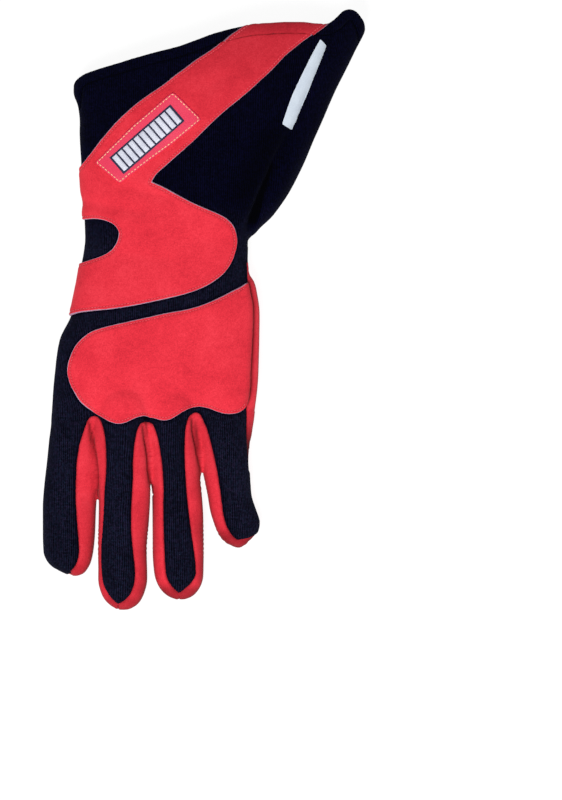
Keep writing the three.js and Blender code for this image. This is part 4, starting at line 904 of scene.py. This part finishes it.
class Graph:
    def __init__(self, nt):
        self.nt = nt

    def node(self, kind, **settings):
        n = self.nt.nodes.new(kind)
        for k, v in settings.items():
            setattr(n, k, v)
        return n

    def link(self, a, b):
        self.nt.links.new(a, b)
        return a

    def math(self, op, a, b=None, c=None, clamp=False):
        n = self.node("ShaderNodeMath", operation=op, use_clamp=clamp)
        for i, x in enumerate((a, b, c)):
            if x is None:
                continue
            if isinstance(x, (int, float)):
                n.inputs[i].default_value = x
            else:
                self.link(x, n.inputs[i])
        return n.outputs[0]

    def fabric(self):
        vector = self.node("ShaderNodeAttribute", attribute_type="GEOMETRY", attribute_name="fab").outputs["Vector"]
        return self.scaled(vector, 1, 1, 0)

    def shaded(self, colour, stops=((0.0, (1, 1, 1)), (1.0, (0.14, 0.03, 0.06)))):
        """Painted shade: darker where the attribute's third number says so."""
        vector = self.node("ShaderNodeAttribute", attribute_type="GEOMETRY", attribute_name="fab").outputs["Vector"]
        sep = self.node("ShaderNodeSeparateXYZ")
        self.link(vector, sep.inputs[0])
        return self.mix(1.0, colour, self.ramp(sep.outputs[2], list(stops)), "MULTIPLY")

    def scaled(self, vector, x, y, z):
        n = self.node("ShaderNodeVectorMath", operation="MULTIPLY")
        self.link(vector, n.inputs[0])
        n.inputs[1].default_value = (x, y, z)
        return n.outputs[0]

    def noise(self, vector, scale, detail=2.0, rough=0.5, distortion=0.0):
        n = self.node("ShaderNodeTexNoise", noise_dimensions="3D")
        self.link(vector, n.inputs["Vector"])
        n.inputs["Scale"].default_value = scale
        n.inputs["Detail"].default_value = detail
        n.inputs["Roughness"].default_value = rough
        n.inputs["Distortion"].default_value = distortion
        return n.outputs["Fac"]

    def ramp(self, value, stops):
        n = self.node("ShaderNodeValToRGB")
        while len(n.color_ramp.elements) < len(stops):
            n.color_ramp.elements.new(0.5)
        for e, (p, c) in zip(n.color_ramp.elements, stops):
            e.position = p
            e.color = (*c, 1) if len(c) == 3 else c
        self.link(value, n.inputs["Fac"])
        return n.outputs["Color"]

    def mix(self, fac, a, b, blend="MIX"):
        n = self.node("ShaderNodeMix", data_type="RGBA", blend_type=blend)
        for x, i in ((fac, 0), (a, 6), (b, 7)):
            if isinstance(x, (int, float)):
                n.inputs[i].default_value = x
            elif isinstance(x, tuple):
                n.inputs[i].default_value = (*x, 1)
            else:
                self.link(x, n.inputs[i])
        return n.outputs[2]

    def bump(self, height, distance, strength=1.0, after=None):
        n = self.node("ShaderNodeBump")
        n.inputs["Strength"].default_value = strength
        n.inputs["Distance"].default_value = distance
        self.link(height, n.inputs["Height"])
        if after is not None:
            self.link(after, n.inputs["Normal"])
        return n.outputs["Normal"]


def knit(name, dark, light, fleck, pitch=1.1, course=0.85):
    """Ribbed knit: upright ribs of V stitches, each loop a little lighter or darker, with stray light fibres."""
    m, nt, b = shader(name)
    g = Graph(nt)
    fab = g.fabric()
    wander = g.noise(g.scaled(fab, 1, 0.35, 1), 0.12, 1.0)
    sep = g.node("ShaderNodeSeparateXYZ")
    g.link(fab, sep.inputs[0])
    a = g.math("ADD", sep.outputs[0], g.math("MULTIPLY", wander, 3.0))
    side = g.math("DIVIDE", g.math("PINGPONG", a, pitch / 2), pitch / 2)
    lean = g.math("ADD", sep.outputs[1], g.math("MULTIPLY", side, 0.55))
    loops = g.math("DIVIDE", g.math("PINGPONG", lean, course / 2), course / 2)
    height = g.math("ADD", g.math("MULTIPLY", g.math("SUBTRACT", 1.0, g.math("MULTIPLY", side, side)), 0.72),
                    g.math("MULTIPLY", loops, 0.28))
    cell = g.node("ShaderNodeCombineXYZ")
    g.link(g.math("SNAP", a, pitch), cell.inputs[0])
    g.link(g.math("SNAP", lean, course), cell.inputs[1])
    each = g.node("ShaderNodeTexWhiteNoise", noise_dimensions="3D")
    g.link(cell.outputs[0], each.inputs["Vector"])
    fuzz = g.noise(g.scaled(fab, 1.6, 0.9, 1), 1.5, 2.0, 0.6)
    patchy = g.noise(g.scaled(fab, 1, 0.5, 1), 0.055, 3.0, 0.55)
    tone = g.math("ADD", g.math("MULTIPLY", height, 0.38), g.math("MULTIPLY", fuzz, 0.30))
    tone = g.math("ADD", tone, g.math("MULTIPLY", each.outputs["Value"], 0.16))
    tone = g.math("ADD", tone, g.math("MULTIPLY", patchy, 0.16))
    colour = g.ramp(tone, [(0.36, dark), (0.56, tuple(x * 0.25 for x in light)), (0.78, light)])
    flecks = g.noise(g.scaled(fab, 1.0, 0.6, 1), 1.7, 1.0, 0.5)
    spots = g.math("MULTIPLY", g.math("SUBTRACT", flecks, 0.66), 5.0, clamp=True)
    colour = g.mix(g.math("MULTIPLY", spots, 0.4), colour, fleck)
    hue = g.noise(g.scaled(fab, 1.0, 0.5, 1), 0.9, 1.0, 0.5)
    colour = g.mix(1.0, colour, g.ramp(hue, [(0.38, (0.72, 1.06, 1.0)), (0.62, (1.22, 0.92, 1.02))]), "MULTIPLY")
    # painted shade from the attribute darkens the knit toward navy black
    g.link(g.shaded(colour, ((0.0, (1, 1, 1)), (0.8, (0.15, 0.15, 0.46)), (1.0, (0.02, 0.02, 0.07)))), b.inputs["Base Color"])
    g.link(g.math("ADD", 0.82, g.math("MULTIPLY", fuzz, 0.15)), b.inputs["Roughness"])
    n = g.bump(height, 0.00025, 0.9)
    n = g.bump(fuzz, 0.00016, 0.5, n)
    g.link(n, b.inputs["Normal"])
    b.inputs["Specular IOR Level"].default_value = 0.03
    b.inputs["Sheen Weight"].default_value = 0.02
    b.inputs["Sheen Roughness"].default_value = 0.45
    b.inputs["Sheen Tint"].default_value = (0.42, 0.45, 0.85, 1)
    return m


def suede(name, low, mid, high, sheen, tint, wear=None):
    """Suede with a short nap: brushed patches, mottling and grain."""
    m, nt, b = shader(name)
    g = Graph(nt)
    fab = g.fabric()
    broad = g.noise(fab, 0.040, 3.0, 0.55, 0.4)
    brushed = g.noise(g.scaled(fab, 0.75, 1.25, 1), 0.14, 3.0, 0.6, 0.6)
    mottle = g.noise(fab, 0.45, 4.0, 0.65)
    grain = g.noise(fab, 1.3, 3.0, 0.7)
    tone = g.math("ADD", g.math("MULTIPLY", broad, 0.30), g.math("MULTIPLY", brushed, 0.10))
    tone = g.math("ADD", tone, g.math("MULTIPLY", mottle, 0.20))
    tone = g.math("ADD", tone, g.math("MULTIPLY", grain, 0.40))
    colour = g.ramp(tone, [(0.36, low), (0.50, mid), (0.64, high)])
    # painted shade from the attribute darkens the suede
    g.link(g.shaded(colour), b.inputs["Base Color"])
    g.link(g.math("ADD", 0.80, g.math("MULTIPLY", grain, 0.2)), b.inputs["Roughness"])
    n = g.bump(mottle, 0.00022, 0.55)
    n = g.bump(grain, 0.00014, 0.6, n)
    g.link(n, b.inputs["Normal"])
    b.inputs["Specular IOR Level"].default_value = 0.15
    b.inputs["Sheen Weight"].default_value = sheen
    b.inputs["Sheen Roughness"].default_value = 0.5
    b.inputs["Sheen Tint"].default_value = (*tint, 1)
    return m


def woven(name, low, high, across=0.45, rough=0.6, specular=0.3, sheen=0.1, tint=(1, 1, 1)):
    """Fine plain weave, as of a woven label or satin thread."""
    m, nt, b = shader(name)
    g = Graph(nt)
    fab = g.fabric()
    sep = g.node("ShaderNodeSeparateXYZ")
    g.link(fab, sep.inputs[0])
    u = g.math("DIVIDE", g.math("PINGPONG", sep.outputs[0], across / 2), across / 2)
    v = g.math("DIVIDE", g.math("PINGPONG", sep.outputs[1], across / 2), across / 2)
    height = g.math("MULTIPLY", g.math("ADD", u, v), 0.5)
    fuzz = g.noise(fab, 1.8, 3.0, 0.6)
    broad = g.noise(fab, 0.12, 2.0, 0.5)
    tone = g.math("ADD", g.math("MULTIPLY", height, 0.4), g.math("ADD", g.math("MULTIPLY", fuzz, 0.35), g.math("MULTIPLY", broad, 0.3)))
    g.link(g.ramp(tone, [(0.3, low), (0.75, high)]), b.inputs["Base Color"])
    g.link(g.math("ADD", rough - 0.08, g.math("MULTIPLY", fuzz, 0.16)), b.inputs["Roughness"])
    g.link(g.bump(height, 0.00010, 0.6), b.inputs["Normal"])
    b.inputs["Specular IOR Level"].default_value = specular
    b.inputs["Sheen Weight"].default_value = sheen
    b.inputs["Sheen Tint"].default_value = (*tint, 1)
    return m


KNIT = knit("knit", (0.0001, 0.0001, 0.0014), (0.0160, 0.0164, 0.0430), (0.085, 0.090, 0.14))
RED = suede("red_suede", (0.53, 0.014, 0.030), (0.74, 0.028, 0.048), (0.87, 0.052, 0.078), 0.10, (1.0, 0.45, 0.45))
DARK = suede("dark_suede", (0.0012, 0.0011, 0.0060), (0.0040, 0.0038, 0.0170), (0.0090, 0.0090, 0.0330), 0.12, (0.35, 0.38, 0.8))
CUT = suede("cut_edge", (0.34, 0.16, 0.26), (0.46, 0.27, 0.38), (0.58, 0.38, 0.48), 0.1, (1, 0.8, 0.9))
FIELD = woven("badge_field", (0.68, 0.024, 0.072), (0.84, 0.040, 0.108), 0.5, 0.55, 0.3, 0.15, (1.0, 0.5, 0.6))
INK = woven("badge_dark", (0.006, 0.006, 0.03), (0.016, 0.016, 0.06), 0.5, 0.6)
SILVER = woven("badge_silver", (0.42, 0.44, 0.56), (0.82, 0.83, 0.92), 0.42, 0.42, 0.5)
GOLD = woven("badge_thread", (0.80, 0.52, 0.22), (0.95, 0.74, 0.42), 0.4, 0.5, 0.4)
TAPE = woven("tape", (0.46, 0.52, 0.62), (0.68, 0.75, 0.82), 0.55, 0.55, 0.3)
RED_THREAD = woven("red_thread", (0.70, 0.07, 0.10), (0.84, 0.15, 0.18), 0.3, 0.7, 0.1)
NAVY_THREAD = woven("navy_thread", (0.012, 0.012, 0.035), (0.05, 0.05, 0.10), 0.3, 0.5, 0.3)
SLATE_THREAD = woven("slate_thread", (0.05, 0.06, 0.12), (0.14, 0.17, 0.26), 0.3, 0.5, 0.3)
DEEP_RED_THREAD = woven("deep_red_thread", (0.16, 0.006, 0.014), (0.30, 0.014, 0.028), 0.3, 0.6, 0.2)


# ---- panels ----
def panel(name, faces, thick, material, node, extra=None):
    part = skin.part(faces)
    outer, n = points_of(part), cloth_normals(part)
    inner = outer - n * thick
    v, f, kind, at = shell(outer, inner, part.f, {"fab": fab_of(part)})
    return make(name, v, f, [material], (node,), at["fab"])


panel("back_knit", in_back, 1.3, KNIT, "back_panel")
panel("palm_suede", in_palm, 1.2, RED, "palm_panel")
panel("strip_index_middle", in_strip & left_of_middle, 1.0, RED, "side_strip_index_middle")
panel("strip_middle_ring", in_strip & ~left_of_middle & left_of_ring, 1.0, RED, "side_strip_middle_ring")
panel("strip_ring_little", in_strip & ~left_of_ring, 1.0, RED, "side_strip_ring_little")
panel("cuff_knit_back", in_cuff & ~under, 1.8, KNIT, "cuff_back")
panel("cuff_knit_under", in_cuff & under, 1.8, KNIT, "cuff_palm")

# the hem: outer and inner layers meet in a round edge
part = skin.part(in_hem)
outer, n = points_of(part), cloth_normals(part)
rim_here = part.get("rim")
inner = outer - n * np.maximum(3.0 - 2 * rim_here, 0.06)[:, None]
v, f, kind, at = shell(outer, inner, part.f, {"fab": fab_of(part)})
red_zone = np.concatenate([part.get("band"), part.get("band")])
kinds = ((red_zone[f].mean(1) < 0) & (np.concatenate([part.get("mouth")] * 2)[f].mean(1) > -1.4)).astype(int)
make("hem_fold", v, f, [KNIT, RED], ("cuff_hem",), at["fab"], kinds)


# ---- patches ----
def stitched(obj_name, rows, material, size=(1.2, 0.42, 0.34), pitch=1.9, sink=0.05):
    """Short rounded stitches along each row of (points, normals)."""
    length, width, height = size
    lat, lon = 5, 6
    th = np.pi * (np.arange(lat) + 1) / (lat + 1)
    ph = 2 * np.pi * np.arange(lon) / lon
    base = [(1.0, 0, 0)]
    for t in th:
        for p in ph:
            c, s = math.cos(t), math.sin(t)
            base.append((np.sign(c) * abs(c) ** 0.7, s**0.7 * math.cos(p), s**0.7 * math.sin(p)))
    base.append((-1.0, 0, 0))
    base = np.array(base) * np.array([length / 2, width / 2, height / 2])
    faces = []
    for j in range(lon):
        faces.append((0, 1 + j, 1 + (j + 1) % lon))
        last = 1 + (lat - 1) * lon
        faces.append((len(base) - 1, last + (j + 1) % lon, last + j))
        for i in range(lat - 1):
            a, b = 1 + i * lon + j, 1 + i * lon + (j + 1) % lon
            faces += [(a, a + lon, b + lon), (a, b + lon, b)]
    faces = np.array(faces)
    vs, fs, fabs, offset = [], [], [], 0
    for pts, nrm, is_closed in rows:
        if len(pts) < 3:
            continue
        if is_closed:
            pts, nrm = np.vstack([pts, pts[:1]]), np.vstack([nrm, nrm[:1]])
        along = np.concatenate([[0], np.cumsum(np.linalg.norm(np.diff(pts, axis=0), axis=1))])
        count = int(along[-1] // pitch)
        if count < 1:
            continue
        at = (np.arange(count) + 0.5) * along[-1] / count
        get = lambda arr, s: np.stack([np.interp(s, along, arr[:, k]) for k in range(3)], 1)
        centre, tangent, normal = get(pts, at), get(pts, at + 0.3) - get(pts, at - 0.3), get(nrm, at)
        for c, t, n_ in zip(centre, tangent, normal):
            if np.linalg.norm(t) < 1e-6:
                continue
            t = t / np.linalg.norm(t)
            n_ = n_ - t * (n_ @ t)
            n_ = n_ / np.linalg.norm(n_)
            s_ = np.cross(n_, t)
            pts3 = c - n_ * sink + base[:, :1] * t + base[:, 1:2] * s_ + base[:, 2:3] * n_
            vs.append(pts3)
            fs.append(faces + offset)
            fabs.append(base[:, [0, 1, 2]] * 1.0 + np.array([c[0], c[1], 0]))
            offset += len(base)
    if not vs:
        return None
    v, f = np.vstack(vs), np.vstack(fs)
    a, b, c = v[f[:, 0]], v[f[:, 1]], v[f[:, 2]]
    if (np.cross(b - a, c - a) * (a - np.repeat(np.array([x.mean(0) for x in vs]), len(faces), axis=0))).sum() < 0:
        f = f[:, ::-1]
    return make(obj_name, v, f, [material], (), np.vstack(fabs), sharp=80)


def chains(part, name, level, points, normals):
    """The lines on a skin where a field has this level, as rows of points and normals."""
    on = np.abs(part.get(name) - level) < 1e-9
    e = edges_of(part.f)
    e = e[on[e[:, 0]] & on[e[:, 1]]]
    links = {}
    for a, b in e.tolist():
        links.setdefault(a, []).append(b)
        links.setdefault(b, []).append(a)
    seen, rows = set(), []
    starts = [k for k, x in links.items() if len(x) == 1] + list(links)
    for s in starts:
        if s in seen:
            continue
        path, here = [s], s
        seen.add(s)
        while True:
            nxt = [x for x in links[here] if x not in seen]
            if not nxt:
                break
            here = nxt[0]
            seen.add(here)
            path.append(here)
        is_closed = len(path) > 8 and s in links[here]
        if len(path) > 3:
            rows.append((points[path], normals[path], is_closed))
    return rows


def patch(name, field, faces, material, node, thick=1.2, base=0.15, seam=1.5, cut_edge=True, extra_lift=None,
          keep_stitch=None, edge_only=None, not_sewn=None):
    """A piece of suede sewn on the cloth: rounded at its edge, with a stitch line sunk beside it, and painted shade in
    that line and along an unsewn edge.
    """
    part = skin.part(faces)
    for level in (-0.25, -0.45, -0.8, -1.15, -seam, -1.9, -2.4):
        part.cut(field, level)
    d = -part.get(field)
    p, n = points_of(part), evened(cloth_normals(part), part.f)
    sewn = np.ones(len(d)) if not_sewn is None else 1 - not_sewn(part.v)
    t = np.clip(d / 0.9, 0, 1)
    h = base + thick * 0.45 + thick * 0.55 * np.sqrt(1 - (1 - t) ** 2)
    h -= 0.24 * np.exp(-(((d - seam) / 0.38) ** 2)) * sewn
    h += 0.14 * np.exp(-(((d - seam - 1.4) / 0.9) ** 2)) * sewn
    h -= 0.35 * np.exp(-((d / 1.6) ** 2)) * (1 - sewn)
    if extra_lift is not None:
        h += extra_lift(part, d)
    outer, inner = p + n * h[:, None], p + n * 0.03
    outer[:, 2] = np.maximum(outer[:, 2], 0.03)
    fab = fab_of(part, "wear_and_shade")
    # painted shade in the sunk stitch line, and on an unsewn edge where it rolls down
    fab[:, 2] = np.maximum(fab[:, 2], 0.30 * np.exp(-(((d - seam) / 0.45) ** 2)) * sewn)
    fab[:, 2] = np.maximum(fab[:, 2], (0.30 * np.exp(-((d / 2.0) ** 2)) + 0.45 * np.exp(-((d / 0.5) ** 2))) * (1 - sewn))
    v, f, kind, at = shell(outer, inner, part.f, {"fab": fab})
    d2 = np.concatenate([d, d])
    facing = normals_of(v, f)[f, 1].mean(1)
    pale = (d2[f].mean(1) < np.where(facing > 0, 0.45, 0.25)) if cut_edge else np.zeros(len(f), bool)
    if edge_only is not None:
        pale &= edge_only(np.concatenate([part.v, part.v])[f].mean(1))
    obj = make(name, v, f, [material, CUT], (node,), at["fab"], pale.astype(int), 70)
    rows = chains(part, field, -seam, outer, normals_of(outer, part.f))
    if keep_stitch is not None:
        kept = []
        for pts, nrm, is_closed in rows:
            ok = keep_stitch(pts)
            runs = np.flatnonzero(np.diff(np.concatenate([[0], ok.astype(int), [0]])))
            for a, b in zip(runs[::2], runs[1::2]):
                kept.append((pts[a:b], nrm[a:b], is_closed and ok.all()))
        rows = kept
    return obj, part, outer, rows


skin.cut("band"); skin.cut("knuckles"); skin.cut("badge"); skin.cut("tag"); skin.cut("pad"); skin.cut("crotch_pad")
red_rows = []
_, band_part, band_outer, rows = patch("band_suede", "band", skin.side("band"), RED, "band_patch",
                                       keep_stitch=lambda p: (p[:, 1] < 149.5) & (p[:, 2] > 9),
                                       edge_only=lambda c: c[:, 2] > 11,
                                       extra_lift=lambda part, d: -0.95 * np.exp(-((part.get("mouth") / 2.4) ** 2)))
red_rows += rows
_, _, _, rows = patch("knuckle_suede", "knuckles", skin.side("knuckles"), RED, "knuckle_patch",
                      keep_stitch=lambda p: p[:, 0] < 21.6, edge_only=lambda c: c[:, 0] < 22.2,
                      not_sewn=lambda v: step(21.0, 22.6, v[:, 0]))
red_rows += rows


# the pad on the palm, quilted
def quilted(part, d):
    q = part.v[:, :2]
    near = np.minimum(to_line(curve(QUILT[0]), q), to_line(curve(QUILT[1]), q))
    return -0.55 * np.exp(-((near / 0.8) ** 2)) - 0.45 * np.exp(-((near / 3.6) ** 2)) + 0.35 * np.clip(d / 6, 0, 1)


pad_obj, pad_part, pad_outer, pad_rows = patch("palm_pad_suede", "pad", skin.side("pad"), DARK, "palm_pad",
                                               thick=1.25, cut_edge=False, extra_lift=quilted)
patch("crotch_pad_suede", "crotch_pad", skin.side("crotch_pad"), DARK, "crotch_pad", thick=0.9, cut_edge=False)

def from_below(tree, line):
    """A line drawn on the underside, as points and normals."""
    pts, nrm = [], []
    for x, y in line:
        hit, normal, _, _ = tree.ray_cast(Vector((x, y, -5)), Vector((0, 0, 1)))
        if hit is not None:
            pts.append(hit)
            nrm.append(normal if normal.z < 0 else -normal)
    return np.array(pts), np.array(nrm)


body = BVHTree.FromPolygons(points_of(skin).tolist(), skin.f.tolist())
pad_tree = BVHTree.FromPolygons(pad_outer.tolist(), pad_part.f.tolist())
quilt_rows = []
for line in QUILT:
    fine = curve(line, 0.8)
    fine = fine[region(loop(PALM_PAD), fine, 40) < -2.6]
    quilt_rows.append((*from_below(pad_tree, fine), False))
stitched("stitches_quilt", quilt_rows, SLATE_THREAD, (1.2, 0.42, 0.36), 2.0, 0.0)


def along_wrist(x, offset):
    return (x, 17.2 + slope * (x + 66.0) + offset)


zig_rows = []
for i in range(20):
    x = -37.0 + 2.8 * i
    ends = [along_wrist(x, -2.6 if i % 2 else -7.8), along_wrist(x + 2.8, -7.8 if i % 2 else -2.6)]
    zig_rows.append((*from_below(body, np.linspace(ends[0], ends[1], 9)), False))
stitched("stitches_zigzag", zig_rows, DEEP_RED_THREAD, (1.5, 0.42, 0.36), 1.75, 0.0)
gather_row = [along_wrist(x, 3.2) for x in np.arange(-61.0, 20.0, 0.9)]
stitched("stitches_wrist", [(*from_below(body, gather_row), False)], NAVY_THREAD, (1.3, 0.4, 0.34), 2.1, 0.0)

stitched("stitches_red", red_rows, RED_THREAD, (1.0, 0.40, 0.34), 1.6, 0.0)
stitched("stitches_pad", pad_rows, SLATE_THREAD, (1.3, 0.4, 0.34), 2.1, 0.0)


# ---- badge and tag ----
def lifted(part, h):
    return points_of(part) + cloth_normals(part) * np.reshape(h, (-1, 1))


part = skin.part(skin.side("badge"))
for level in (-0.25, -0.5, -0.95, -1.4):
    part.cut("badge", level)
d = -part.get("badge")
BAND_TOP = 0.15 + 1.2
h = BAND_TOP + 0.25 + 0.65 * np.sqrt(1 - (1 - np.clip(d / 0.6, 0, 1)) ** 2) - 0.12 * np.exp(-(((d - 0.95) / 0.3) ** 2))
own = np.column_stack([part.get("bu"), part.get("bv"), np.zeros(len(part.v))])
outer, inner = lifted(part, h), lifted(part, np.full(len(h), BAND_TOP - 0.3))
v, f, kind, at = shell(outer, inner, part.f, {"fab": own})
make("badge_plate", v, f, [FIELD], ("badge",), at["fab"])
stitched("badge_border", chains(part, "badge", -0.95, outer, normals_of(outer, part.f)), GOLD, (1.35, 0.5, 0.36), 2.0, 0.0)
badge_tree = BVHTree.FromPolygons(outer.tolist(), part.f.tolist())


def on_badge(u, w):
    c, s = math.cos(math.radians(BADGE["turn"])), math.sin(math.radians(BADGE["turn"]))
    x, y = BADGE["x"] + u * c - w * s, BADGE["y"] + u * s + w * c
    hit, normal, _, _ = badge_tree.ray_cast(Vector((x, y, 80)), Vector((0, 0, -1)))
    return np.array(hit), np.array(normal)


def cushion(u0, u1, w0, w1, base, top, round_by, cells=6):
    """A small rounded pad of thread that follows the badge."""
    n = cells
    grid = [(u0 + (u1 - u0) * i / n, w0 + (w1 - w0) * j / n, i / n, j / n) for j in range(n + 1) for i in range(n + 1)]
    up, low, fab = [], [], []
    for u, w, a, b in grid:
        hit, normal = on_badge(u, w)
        e = min(a, 1 - a) * (u1 - u0), min(b, 1 - b) * (w1 - w0)
        r = np.clip(np.array(e) / round_by, 0, 1)
        crown = math.sqrt(max(0, 1 - (1 - r[0]) ** 2)) * math.sqrt(max(0, 1 - (1 - r[1]) ** 2))
        up.append(hit + normal * (base + (top - base) * (0.35 + 0.65 * crown)))
        low.append(hit - normal * 0.1)
        fab.append((u, w, 0))
    f = []
    for j in range(n):
        for i in range(n):
            k = j * (n + 1) + i
            f += [(k, k + 1, k + n + 2), (k, k + n + 2, k + n + 1)]
    v, f, _, at = shell(np.array(up), np.array(low), np.array(f), {"fab": np.array(fab, float)})
    return v, f, at["fab"]


def gathered_pieces(name, pieces, material):
    v, f, fab, offset = [], [], [], 0
    for pv, pf, pa in pieces:
        v.append(pv); f.append(pf + offset); fab.append(pa)
        offset += len(pv)
    return make(name, np.vstack(v), np.vstack(f), [material], (), np.vstack(fab), sharp=60)


# a plain silver strip of upright satin bars on a dark ground
BARS, PITCH, TALL = 11, 3.75, 9.6
u0 = -PITCH * BARS / 2
gathered_pieces("badge_strip", [cushion(u0 - 0.75, -u0 + 0.75, -TALL / 2 - 1.0, TALL / 2 + 1.0, 0.0, 0.28, 0.8, 26)], INK)
bars = [cushion(u0 + PITCH * i + 0.42, u0 + PITCH * (i + 1) - 0.42, -TALL / 2, TALL / 2, 0.22, 0.72, 1.1, 8) for i in range(BARS)]
gathered_pieces("badge_bars", bars, SILVER)

part = skin.part(skin.side("tag"))
for level in (-0.25, -0.6):
    part.cut("tag", level)
d = -part.get("tag")
waves = 0.10 * np.sin(part.get("tu") * 0.28) + 0.03 * np.sin(part.get("tu") * 0.9 + 1)
h = 0.40 + waves + 0.06 * np.sqrt(1 - (1 - np.clip(d / 0.3, 0, 1)) ** 2)
own = np.column_stack([part.get("tu"), part.get("tv"), np.zeros(len(part.v))])
outer, inner = lifted(part, h + 0.15), lifted(part, h - 0.15)
v, f, kind, at = shell(outer, inner, part.f, {"fab": own})
tag_obj = make("tag_tape", v, f, [TAPE], ("tag",), at["fab"])

# ---- thumb, with the heel of the palm ----
TV, TF = remeshed(*thumb_form(), 1.0)
TV = smoothed(TV, TF, 10)
clear = np.empty(len(TV))
for i, p in enumerate(TV.tolist()):
    q = Vector(p)
    hit, normal, _, dist = body.find_nearest(q)
    clear[i] = -dist if (q - hit).dot(normal) > 0 else dist
TN = normals_of(TV, TF)
tq = TV[:, :2]
trows = np.array(THUMB)
txl, txr = (pchip(-trows[:, 0], trows[:, c], np.clip(-TV[:, 1], -12, 114.4)) for c in (1, 2))
tmid_low = pchip(-trows[:, 0], trows[:, 3], np.clip(-TV[:, 1], -12, 114.4))
ttop = pchip(-trows[:, 0], (trows[:, 4] + trows[:, 5]) / 2, np.clip(-TV[:, 1], -12, 114.4))
tmid = tmid_low + (ttop - tmid_low) * EDGE_HEIGHT
clear = np.where(TV[:, 2] < tmid - 0.5, -np.maximum(np.abs(clear), 0.5), clear)
tpad = np.maximum(region(closed(THUMB_PAD), tq, 40), TV[:, 2] - tmid - 1.5)
tcx = (txl + txr) / 2
tside = np.where(tq[:, 0] > tcx, 1.0, -1.0)
tedge = np.where(tq[:, 0] > tcx, txr, txl)
tfa = np.where(TV[:, 2] < tmid, tq[:, 0] - tside * 0.9 * (TV[:, 2] - tmid_low), 2 * tedge - tq[:, 0] + tside * TV[:, 2])
tskin = Skin(TV, TF, {"clear": clear, "tpad": tpad, "fa": tfa, "fb": TV[:, 1], "cx": TN[:, 0], "cy": TN[:, 1], "cz": TN[:, 2],
                      "px": TV[:, 0], "py": TV[:, 1], "pz": TV[:, 2]})
tskin.cut("clear", -0.15)
tskin = tskin.part(tskin.side("clear", -0.15))
wave = noise(tskin.v, 14, 21) * 0.35 + noise(tskin.v, 6, 22) * 0.12
tn = cloth_normals(tskin)
wave = np.where(tn[:, 2] < -0.5, np.minimum(wave, 0), wave)
moved = tskin.v + tn * wave[:, None]
tskin.set("px", moved[:, 0]); tskin.set("py", moved[:, 1]); tskin.set("pz", moved[:, 2])
tn = normals_of(moved, tskin.f)
tskin.set("cx", tn[:, 0]); tskin.set("cy", tn[:, 1]); tskin.set("cz", tn[:, 2])
tv, tf, _, tat = shell(moved, moved - tn * 1.3, tskin.f, {"fab": fab_of(tskin)})
part = skin.part(skin.side("wrist") & ~skin.side("back") & skin.side("heel"))
outer, n = points_of(part), cloth_normals(part)
hv, hf, _, hat = shell(outer, outer - n * 1.3, part.f, {"fab": fab_of(part)})
make("thumb_knit", np.vstack([tv, hv]), np.vstack([tf, hf + len(tv)]), [KNIT], ("thumb",), np.vstack([tat["fab"], hat["fab"]]))

tskin.cut("tpad")
saved, skin = skin, tskin
_, _, _, rows = patch("thumb_pad_suede", "tpad", tskin.side("tpad"), RED, "thumb_pad", thick=0.95, base=0.1)
stitched("stitches_thumb", rows, RED_THREAD, (1.15, 0.42, 0.36), 1.9, 0.0)
skin = saved

# ---- floor, light and camera ----
floor = bpy.data.meshes.new("floor")
floor.from_pydata([(-3, -3, 0), (3, -3, 0), (3, 3, 0), (-3, 3, 0)], [], [(0, 1, 2, 3)])
floor_obj = bpy.data.objects.new("floor", floor)
bpy.context.scene.collection.objects.link(floor_obj)
fm, fnt, fb = shader("floor")
fb.inputs["Base Color"].default_value = (0.12, 0.12, 0.12, 1)
fb.inputs["Roughness"].default_value = 0.9
fb.inputs["Emission Color"].default_value = (1, 1, 1, 1)
fb.inputs["Emission Strength"].default_value = 0.92
floor.materials.append(fm)


def area_light(name, at, target, size, power):
    data = bpy.data.lights.new(name, "AREA")
    data.shape, data.size, data.energy = "DISK", size, power
    obj = bpy.data.objects.new(name, data)
    obj.location = at
    obj.rotation_euler = (Vector(target) - Vector(at)).to_track_quat("-Z", "Y").to_euler()
    bpy.context.scene.collection.objects.link(obj)


area_light("key", (-0.35, -0.75, 1.75), (0, -0.05, 0), 0.8, 33)
area_light("fill", (0.9, 0.35, 1.5), (0, 0, 0), 1.2, 6)
world = bpy.data.worlds.new("studio")
bpy.context.scene.world = world
world.use_nodes = True
world.node_tree.nodes["Background"].inputs["Color"].default_value = (1, 1, 1, 1)
world.node_tree.nodes["Background"].inputs["Strength"].default_value = 0.24

cam = bpy.data.cameras.new("camera")
cam.sensor_fit, cam.sensor_width, cam.sensor_height = "AUTO", 36, 36
HEIGHT = 5.0
SPAN = 800 * 0.53e-3            # what the image shows from top to bottom, at the glove's middle height
cam.lens = 36 * (HEIGHT - 0.016) / SPAN
cam.clip_end = 20
cam_obj = bpy.data.objects.new("camera", cam)
cam_obj.location = ((281 - 204.5) * 0.53e-3 + SHIFT[0] / 1000, (307.5 - 400) * 0.53e-3 + SHIFT[1] / 1000, HEIGHT)
cam_obj.rotation_euler = (0, 0, 0)
bpy.context.scene.collection.objects.link(cam_obj)
bpy.context.scene.camera = cam_obj
bpy.context.scene.view_settings.view_transform = "Standard"
